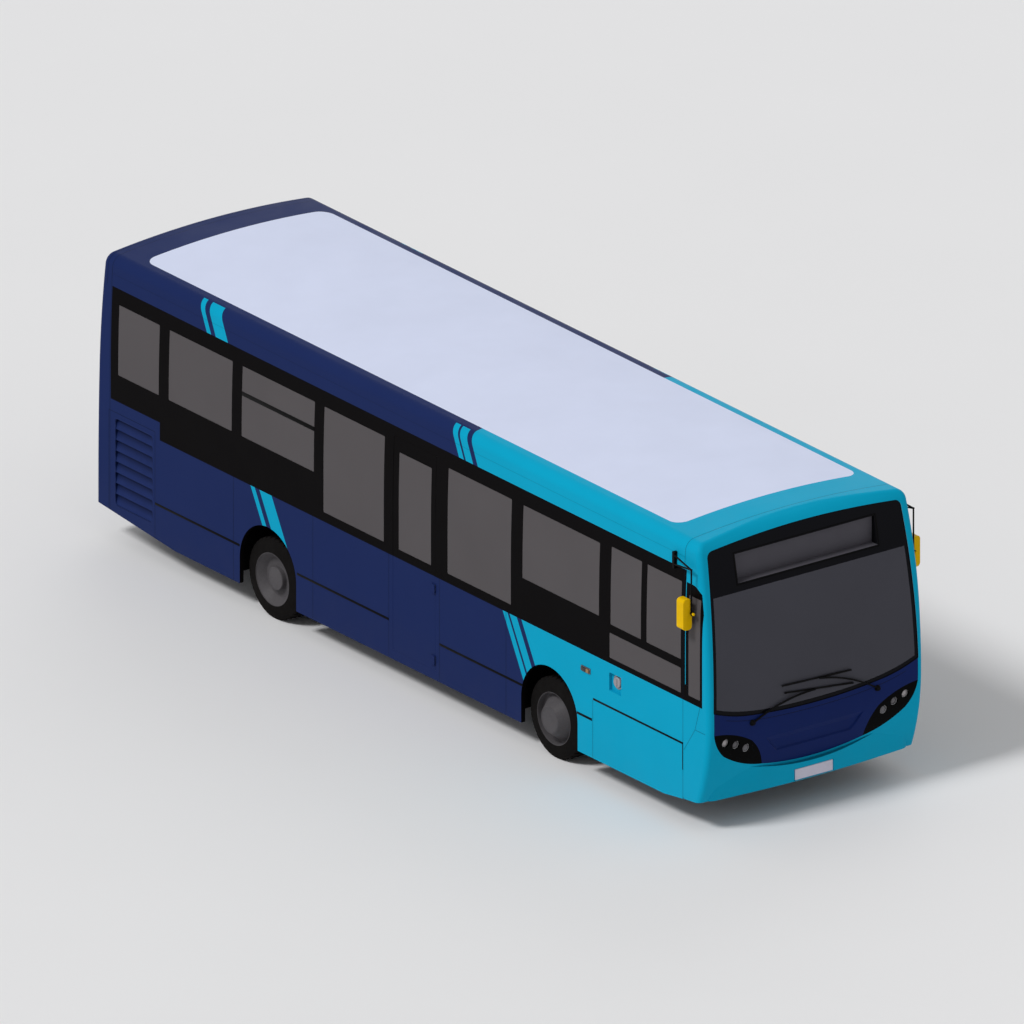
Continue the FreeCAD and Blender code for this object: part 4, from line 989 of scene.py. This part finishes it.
def startPad(look):
    # a slightly small block with eased corners, remeshed finely, ready to be blown up
    half = Vector(look["size"]) / 2
    pad = placeObject("padStart", meshOf("padStart", shaped(addBlock, -half, half, look["corner"] * 0.6, 3)))
    remesh = pad.modifiers.new("remesh", "REMESH")
    remesh.mode = "VOXEL"
    remesh.voxel_size = look["voxel"]
    return pad


def bakedMesh(pad):
    # the mesh that the modifiers give at the present frame
    graph = bpy.context.evaluated_depsgraph_get()
    graph.update()
    return bpy.data.meshes.new_from_object(pad.evaluated_get(graph), depsgraph=graph)


def simulated(pad):
    # the pad's points after it has been blown up as cloth
    cloth = pad.modifiers.new("cloth", "CLOTH")
    cloth.settings.use_pressure = True
    cloth.settings.uniform_pressure_force = 4.0
    cloth.settings.effector_weights.gravity = 0.0
    cloth.settings.quality = 5
    cloth.collision_settings.use_collision = False
    cloth.collision_settings.use_self_collision = False
    for step in range(1, 21):
        scene.frame_set(step)
    swollen = bakedMesh(pad)
    blown = [vert.co.copy() for vert in swollen.vertices]
    bpy.data.meshes.remove(swollen)
    scene.frame_set(1)
    return blown


def blowUp(look):
    # points and faces of one blown pad, no point further than the cap from its rest
    pad = startPad(look)
    still = bakedMesh(pad)
    pad.modifiers.clear()
    pad.data = still
    rest = [vert.co.copy() for vert in still.vertices]
    blown = simulated(pad)
    faces = [tuple(face.vertices) for face in still.polygons]
    bpy.data.objects.remove(pad)
    bpy.data.meshes.remove(still)
    points = []
    for start, end in zip(rest, blown):
        move = end - start
        if move.length > look["cap"]:
            move = move.normalized() * look["cap"]
        points.append(start + move)
    return points, faces


def padMesh(look):
    # one blown pad, subdivided once, with its piping pressed in round the crown
    points, faces = blowUp(look)
    bm = bmesh.new()
    verts = [bm.verts.new(point) for point in points]
    for face in faces:
        bm.faces.new([verts[i] for i in face])
    bmesh.ops.smooth_vert(bm, verts=bm.verts, factor=0.5, use_axis_x=True, use_axis_y=True, use_axis_z=True)
    bmesh.ops.subdivide_edges(bm, edges=bm.edges, cuts=1, use_grid_fill=True, smooth=1.0)
    size, sewn = look["size"], sewnLook
    thin = size.index(min(size))
    others = [i for i in range(3) if i != thin]
    long = others[1]
    for vert in bm.verts:
        edge = min(size[i] / 2 - abs(vert.co[i]) for i in others)
        dip = math.exp(-((edge - sewn["seamIn"]) / sewn["seamHalf"]) ** 2) * sewn["seamDeep"]
        if edge > sewn["channelIn"]:
            away = (vert.co[long] - size[long] * sewn["channelAt"]) / sewn["channelHalf"]
            dip = max(dip, math.exp(-away ** 2) * sewn["channelDeep"])
        if abs(vert.co[thin]) > size[thin] * 0.3:
            vert.co[thin] -= math.copysign(dip, vert.co[thin])
    return bm


def placePad(name, source, lean, middle):
    bm = source.copy()
    turn = Matrix.Rotation(math.radians(-lean), 4, "X")
    bmesh.ops.transform(bm, verts=bm.verts, matrix=Matrix.Translation(middle) @ turn)
    piece = finishPiece(name, bm, seatCloth, 180)


def makeSeatPads():
    pads = {name: padMesh(look) for name, look in padLook.items()}
    look = seatLook
    places = [(sign, y, floor, place) for y, floor, sides in seatRows for sign in sides for place in (0, 1)]
    for count, (sign, y, floor, place) in enumerate(places, 1):
        x = sign * (look["inner"] + look["placeWidth"] * (place + 0.5))
        for part, lean in (("base", 0.0), ("back", look["lean"])):
            partY, partZ = look[part + "At"]
            name = "seat%s%02d" % (part.capitalize(), count)
            placePad(name, pads[part], lean, (x, y + partY, floor + partZ))
    look = driverSeat
    placePad("driverCushion", pads["driverBase"], 0.0, (look["x"], *look["baseAt"]))
    placePad("driverBackrest", pads["driverBack"], look["lean"], (look["x"], *look["backAt"]))
    for source in pads.values():
        source.free()


def addSection(bm, section, x0, x1, bevel=0.006):
    # a closed (y, z) outline pushed across from x0 to x1, its edges eased
    own = shaped(addPrism, [(x0, y, z) for y, z in section], (x1 - x0, 0, 0))
    ease(own, list(own.edges), bevel)
    joinInto(bm, own)


def makeSeatFrames():
    bm, rods = bmesh.new(), bmesh.new()
    look = seatLook
    panFront, panRear, panLow, panHigh = look["pan"]
    for y, floor, sides in seatRows:
        shell = [(y + a, floor + b) for a, b in look["back"]]
        for sign in sides:
            for place in (0, 1):
                inner = look["inner"] + look["placeWidth"] * place
                x0, x1 = span(sign, inner + look["gap"], inner + look["placeWidth"] - look["gap"])
                addSection(bm, shell, x0, x1)
                low, high = (x0, y + panFront, floor + panLow), (x1, y + panRear + 0.04, floor + panHigh)
                addBlock(bm, low, high, 0.008)
            x0, x1 = span(sign, look["inner"], look["outer"])
            for leg in (x0 + look["legsIn"][0], x1 - look["legsIn"][1]):
                for (x2, y2, z2), (x3, y3, z3), bevel in look["leg"]:
                    addBlock(bm, (leg + x2, y + y2, floor + z2), (leg + x3, y + y3, floor + z3), bevel)
            rail = [(x0 + a, y + b, floor + c) for a, b, c in look["rail"]]
            rail += [(x1 - a, y + b, floor + c) for a, b, c in reversed(look["rail"])]
            addTube(rods, rail, 0.012, closed=False)
    look = driverSeat
    x0, x1 = look["x"] - look["half"], look["x"] + look["half"]
    addSection(bm, look["shell"], x0, x1, 0.008)
    panFront, panRear, panLow, panHigh = look["pan"]
    addBlock(bm, (x0, panFront, panLow), (x1, panRear + 0.03, panHigh), 0.01)
    y, radius = look["stalk"]
    stalk = [(0.002, 0.0), (0.002, radius + 0.07), (0.016, radius + 0.06), (0.03, radius - 0.03),
             (0.09, radius - 0.045), (0.29, radius - 0.045), (0.302, radius + 0.03), (0.302, 0.0)]
    addTurned(bm, stalk, (look["x"], y, look["floor"]), (0, 0, 1), 28)
    piece = finishPiece("seatFrames", bm, moulding)
    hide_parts("seats")
    finishPiece("seatGrabRods", rods, railYellow, 60)


# mirror glasses and the knobs that clamp the heads
mirrorLook = {"x": 1.297, "glassY": -4.3135, "z": 2.14, "wide": 0.078, "tall": 0.268, "corner": 0.024,
              "thick": 0.0045, "knobX": 1.262, "knobY": -4.434, "knobZ": 2.15}
mirrorTurned = (
    ("mirrorCollar", blackTrim, "black_trim",
     [(0.0, 0.0), (0.0, 0.019), (0.008, 0.02), (0.012, 0.017), (0.012, 0.0)]),
    ("mirrorKnob", mirrorYellow, "mirror_yellow",
     [(0.012, 0.0), (0.012, 0.013), (0.026, 0.014), (0.032, 0.01), (0.034, 0.0)]),
)


def makeMirrorDetails():
    look = mirrorLook
    for side, sign in bothSides:
        bm = shaped(addPlate, (sign * look["x"], look["glassY"], look["z"]), look["tall"], look["wide"],
                    look["corner"], look["thick"])
        finishPiece("mirrorGlass" + side, bm, mirrorGlass, 30)
        centre = (sign * look["knobX"], look["knobY"], look["knobZ"])
        for name, material, slot, profile in mirrorTurned:
            finishPiece(name + side, shaped(addTurned, profile, centre, (0, -1, 0), 28), material)


# wiper spindles: a stepped cap round each root
wiperLook = {
    "roots": ((-0.725, 1.019), (0.695, 1.018)), "faceY": -4.6325,
    "cap": ((0.0, 0.0), (0.0, 0.03), (0.01, 0.028), (0.014, 0.022), (0.024, 0.021), (0.028, 0.018),
            (0.028, 0.0)),
}


def makeWiperCaps():
    bm = bmesh.new()
    for x, z in wiperLook["roots"]:
        addTurned(bm, wiperLook["cap"], (x, wiperLook["faceY"], z), (0, -1, 0), 32)
    finishPiece("wiperCaps", bm, blackTrim)


# rubber noses on the meeting edges of the entrance doors
doorNose = {"deep": 0.014, "proud": 0.0015, "gap": 0.001, "thick": 0.012, "low": 0.385, "high": 2.335,
            "steps": 12}


def makeDoorNoses():
    low, steps = doorNose["low"], doorNose["steps"]
    heights = [low + (doorNose["high"] - low) * i / steps for i in range(steps + 1)]
    for leaf, edge in (("front_door_leaf", 1), ("rear_door_leaf", -1)):
        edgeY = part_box(leaf)[1 if edge > 0 else 0].y
        y0, y1 = sorted((edgeY - edge * doorNose["deep"], edgeY + edge * doorNose["gap"]))
        bm = bmesh.new()
        for foot, head in zip(heights, heights[1:]):
            footX, headX = sideX(foot) + doorNose["proud"], sideX(head) + doorNose["proud"]
            corners = [(footX - doorNose["thick"], y0, foot), (footX, y0, foot), (headX, y0, head),
                       (headX - doorNose["thick"], y0, head)]
            addPrism(bm, corners, (0, y1 - y0, 0))
        bmesh.ops.remove_doubles(bm, verts=bm.verts, dist=weldDist)
        finishPiece(leaf.replace("_door_leaf", "DoorNose"), bm, blackRubber, body=leaf)


# louvres and a recessed catch on the engine lid
lidLook = {"inner": 0.06, "outer": 0.56, "low": 0.7, "pitch": 0.052, "count": 6, "catchZ": 0.625,
           "blade": ((-0.004, 0.0), (0.009, 0.004), (0.008, 0.01), (-0.004, 0.032))}


def makeLidDetails():
    look = lidLook
    bm = bmesh.new()
    for side in (-1, 1):
        x0, x1 = span(side, look["inner"], look["outer"])
        for i in range(look["count"]):
            z = look["low"] + look["pitch"] * i
            addPrism(bm, [(x0, rearY(z) + a, z + b) for a, b in look["blade"]], (x1 - x0, 0, 0))
    finishPiece("lidLouvres", bm, bodyPaint, body="engine_lid")
    z = look["catchZ"]
    bm = shaped(addPlate, (0.0, rearY(z) - 0.001, z), 0.036, 0.12, 0.012, 0.007)
    finishPiece("lidCatch", bm, blackTrim, body="engine_lid")


# the driver's desk: instrument hood with dials, switch bank and ticket machine
deskLook = {
    "hood": ((-0.94, -4.36, 1.015), (-0.46, -4.15, 1.105)), "dialY": -4.1505, "dialZ": 1.062,
    "dials": ((-0.83, 0.0336), (-0.7, 0.042), (-0.57, 0.0336)),
    "machine": ((-0.16, -4.33, 1.015), (0.06, -4.13, 1.23)),
    "switches": ((-1.09, 5), (-0.43, 4)), "switchPitch": 0.028, "switchWide": 0.019,
    "switchY": (-4.215, -4.18), "switchZ": (1.018, 1.03),
}


def makeDesk():
    look = deskLook
    bm = shaped(addBlock, *look["hood"], 0.02, 3)
    addBlock(bm, *look["machine"], 0.016, 3)
    (front, rear), (low, high) = look["switchY"], look["switchZ"]
    for start, count in look["switches"]:
        for i in range(count):
            x = start + look["switchPitch"] * i
            addBlock(bm, (x, front, low), (x + look["switchWide"], rear, high), 0.003)
    finishPiece("deskTop", bm, cabGrey)
    rings, faces = bmesh.new(), bmesh.new()
    for x, radius in look["dials"]:
        centre, inner = (x, look["dialY"], look["dialZ"]), radius - 0.006
        addTurned(rings, [(-0.004, inner), (0.003, inner), (0.004, radius - 0.002), (0.0, radius),
                          (-0.004, radius)], centre, (0, 1, 0), 32, closed=True)
        disc = [(-0.004, 0.0), (-0.004, inner), (0.0012, inner), (0.0012, 0.0)]
        addTurned(faces, disc, centre, (0, 1, 0), 32)
    finishPiece("dialRings", rings, satinSteel)
    low, high = (Vector(corner) for corner in look["machine"])
    addBlock(faces, (low.x + 0.025, high.y - 0.004, low.z + 0.09),
             (high.x - 0.025, high.y + 0.003, high.z - 0.025), 0.003)
    finishPiece("dialFaces", faces, lampBlack)


# two runs of light covers under the roof
ceilingLook = {"x": 0.6, "half": 0.055, "deep": 0.034, "gap": 0.004, "ease": 0.014,
               "runs": ((-3.35, -2.05), (-1.9, -0.6), (-0.45, 0.85), (1.0, 2.3), (2.45, 3.75))}


def makeCeilingLights():
    bm, look = bmesh.new(), ceilingLook
    roof = nodes["roof"].data
    tree = BVHTree.FromPolygons([vert.co for vert in roof.vertices],
                                [tuple(face.vertices) for face in roof.polygons])
    for sign in (-1, 1):
        x = sign * look["x"]
        for front, rear in look["runs"]:
            hits = [tree.ray_cast(Vector((place, (front + rear) / 2, 2.0)), Vector((0, 0, 1)))[0].z
                    for place in (x, x + sign * look["half"])]
            top = min(hits) + look["gap"]
            low, high = (x - look["half"], front, top - look["deep"]), (x + look["half"], rear, top)
            addBlock(bm, low, high, look["ease"], 3)
    finishPiece("ceilingLights", bm, clearLens)


stages = {
    "tyres and wheels": (makeTyres, makeWheelDetails),
    "side trim": (makeRubLines, makeSeals, makeHopperBars, makeRepeaters, makeFiller),
    "lamps and plates": (makeFrontLamps, makeTailLamps, makePlates),
    "seats": (makeSeatFrames, makeSeatPads),
    "fittings": (makeMirrorDetails, makeWiperCaps, makeDoorNoses, makeLidDetails, makeDesk,
                 makeCeilingLights),
}
for stage, makers in stages.items():
    print("pieces: " + stage)
    for make in makers:
        make()


# stage
def makeStage(look):
    bm = bmesh.new()
    bmesh.ops.create_grid(bm, x_segments=4, y_segments=4, size=60.0)
    mesh = meshOf("studioFloor", bm)
    floor = placeObject("studioFloor", mesh)
    material, tree, shader = newMaterial("studioFloor", 0.95, 0.0, 0.1)
    grey = look["paleGrey"]
    drift = noiseOf(tree, 0.4).ranged(0.0, 1.0)
    link(drift.mix((grey, grey, grey * 1.01), (grey * 0.99, grey * 0.99, grey)), shader)
    mesh.materials.append(material)

    # white light all round, and a paler grey where the world itself shows
    world = bpy.data.worlds.new("studioWorld")
    scene.world = world
    world.use_nodes = True
    tree = world.node_tree
    tree.nodes.clear()
    path = addNode(tree, "LightPath")
    seen = anyOf([path.field(name) for name in ("Is Transmission Ray", "Is Glossy Ray", "Is Camera Ray")])
    light = addNode(tree, "Background", {"Color": (1, 1, 1, 1), "Strength": look["worldStrength"]})
    pale = addNode(tree, "Background", {"Color": (*look["worldShows"], 1), "Strength": 1.0})
    mixed = addNode(tree, "MixShader", {0: seen, 1: light.field(), 2: pale.field()})
    addNode(tree, "OutputWorld", {0: mixed.field()})


makeStage(lightSetup)
addSun("keyLight", lightSetup["key"])
addSun("fillLight", lightSetup["fill"])
addCamera(cameraSetup)

print("bus is ready")
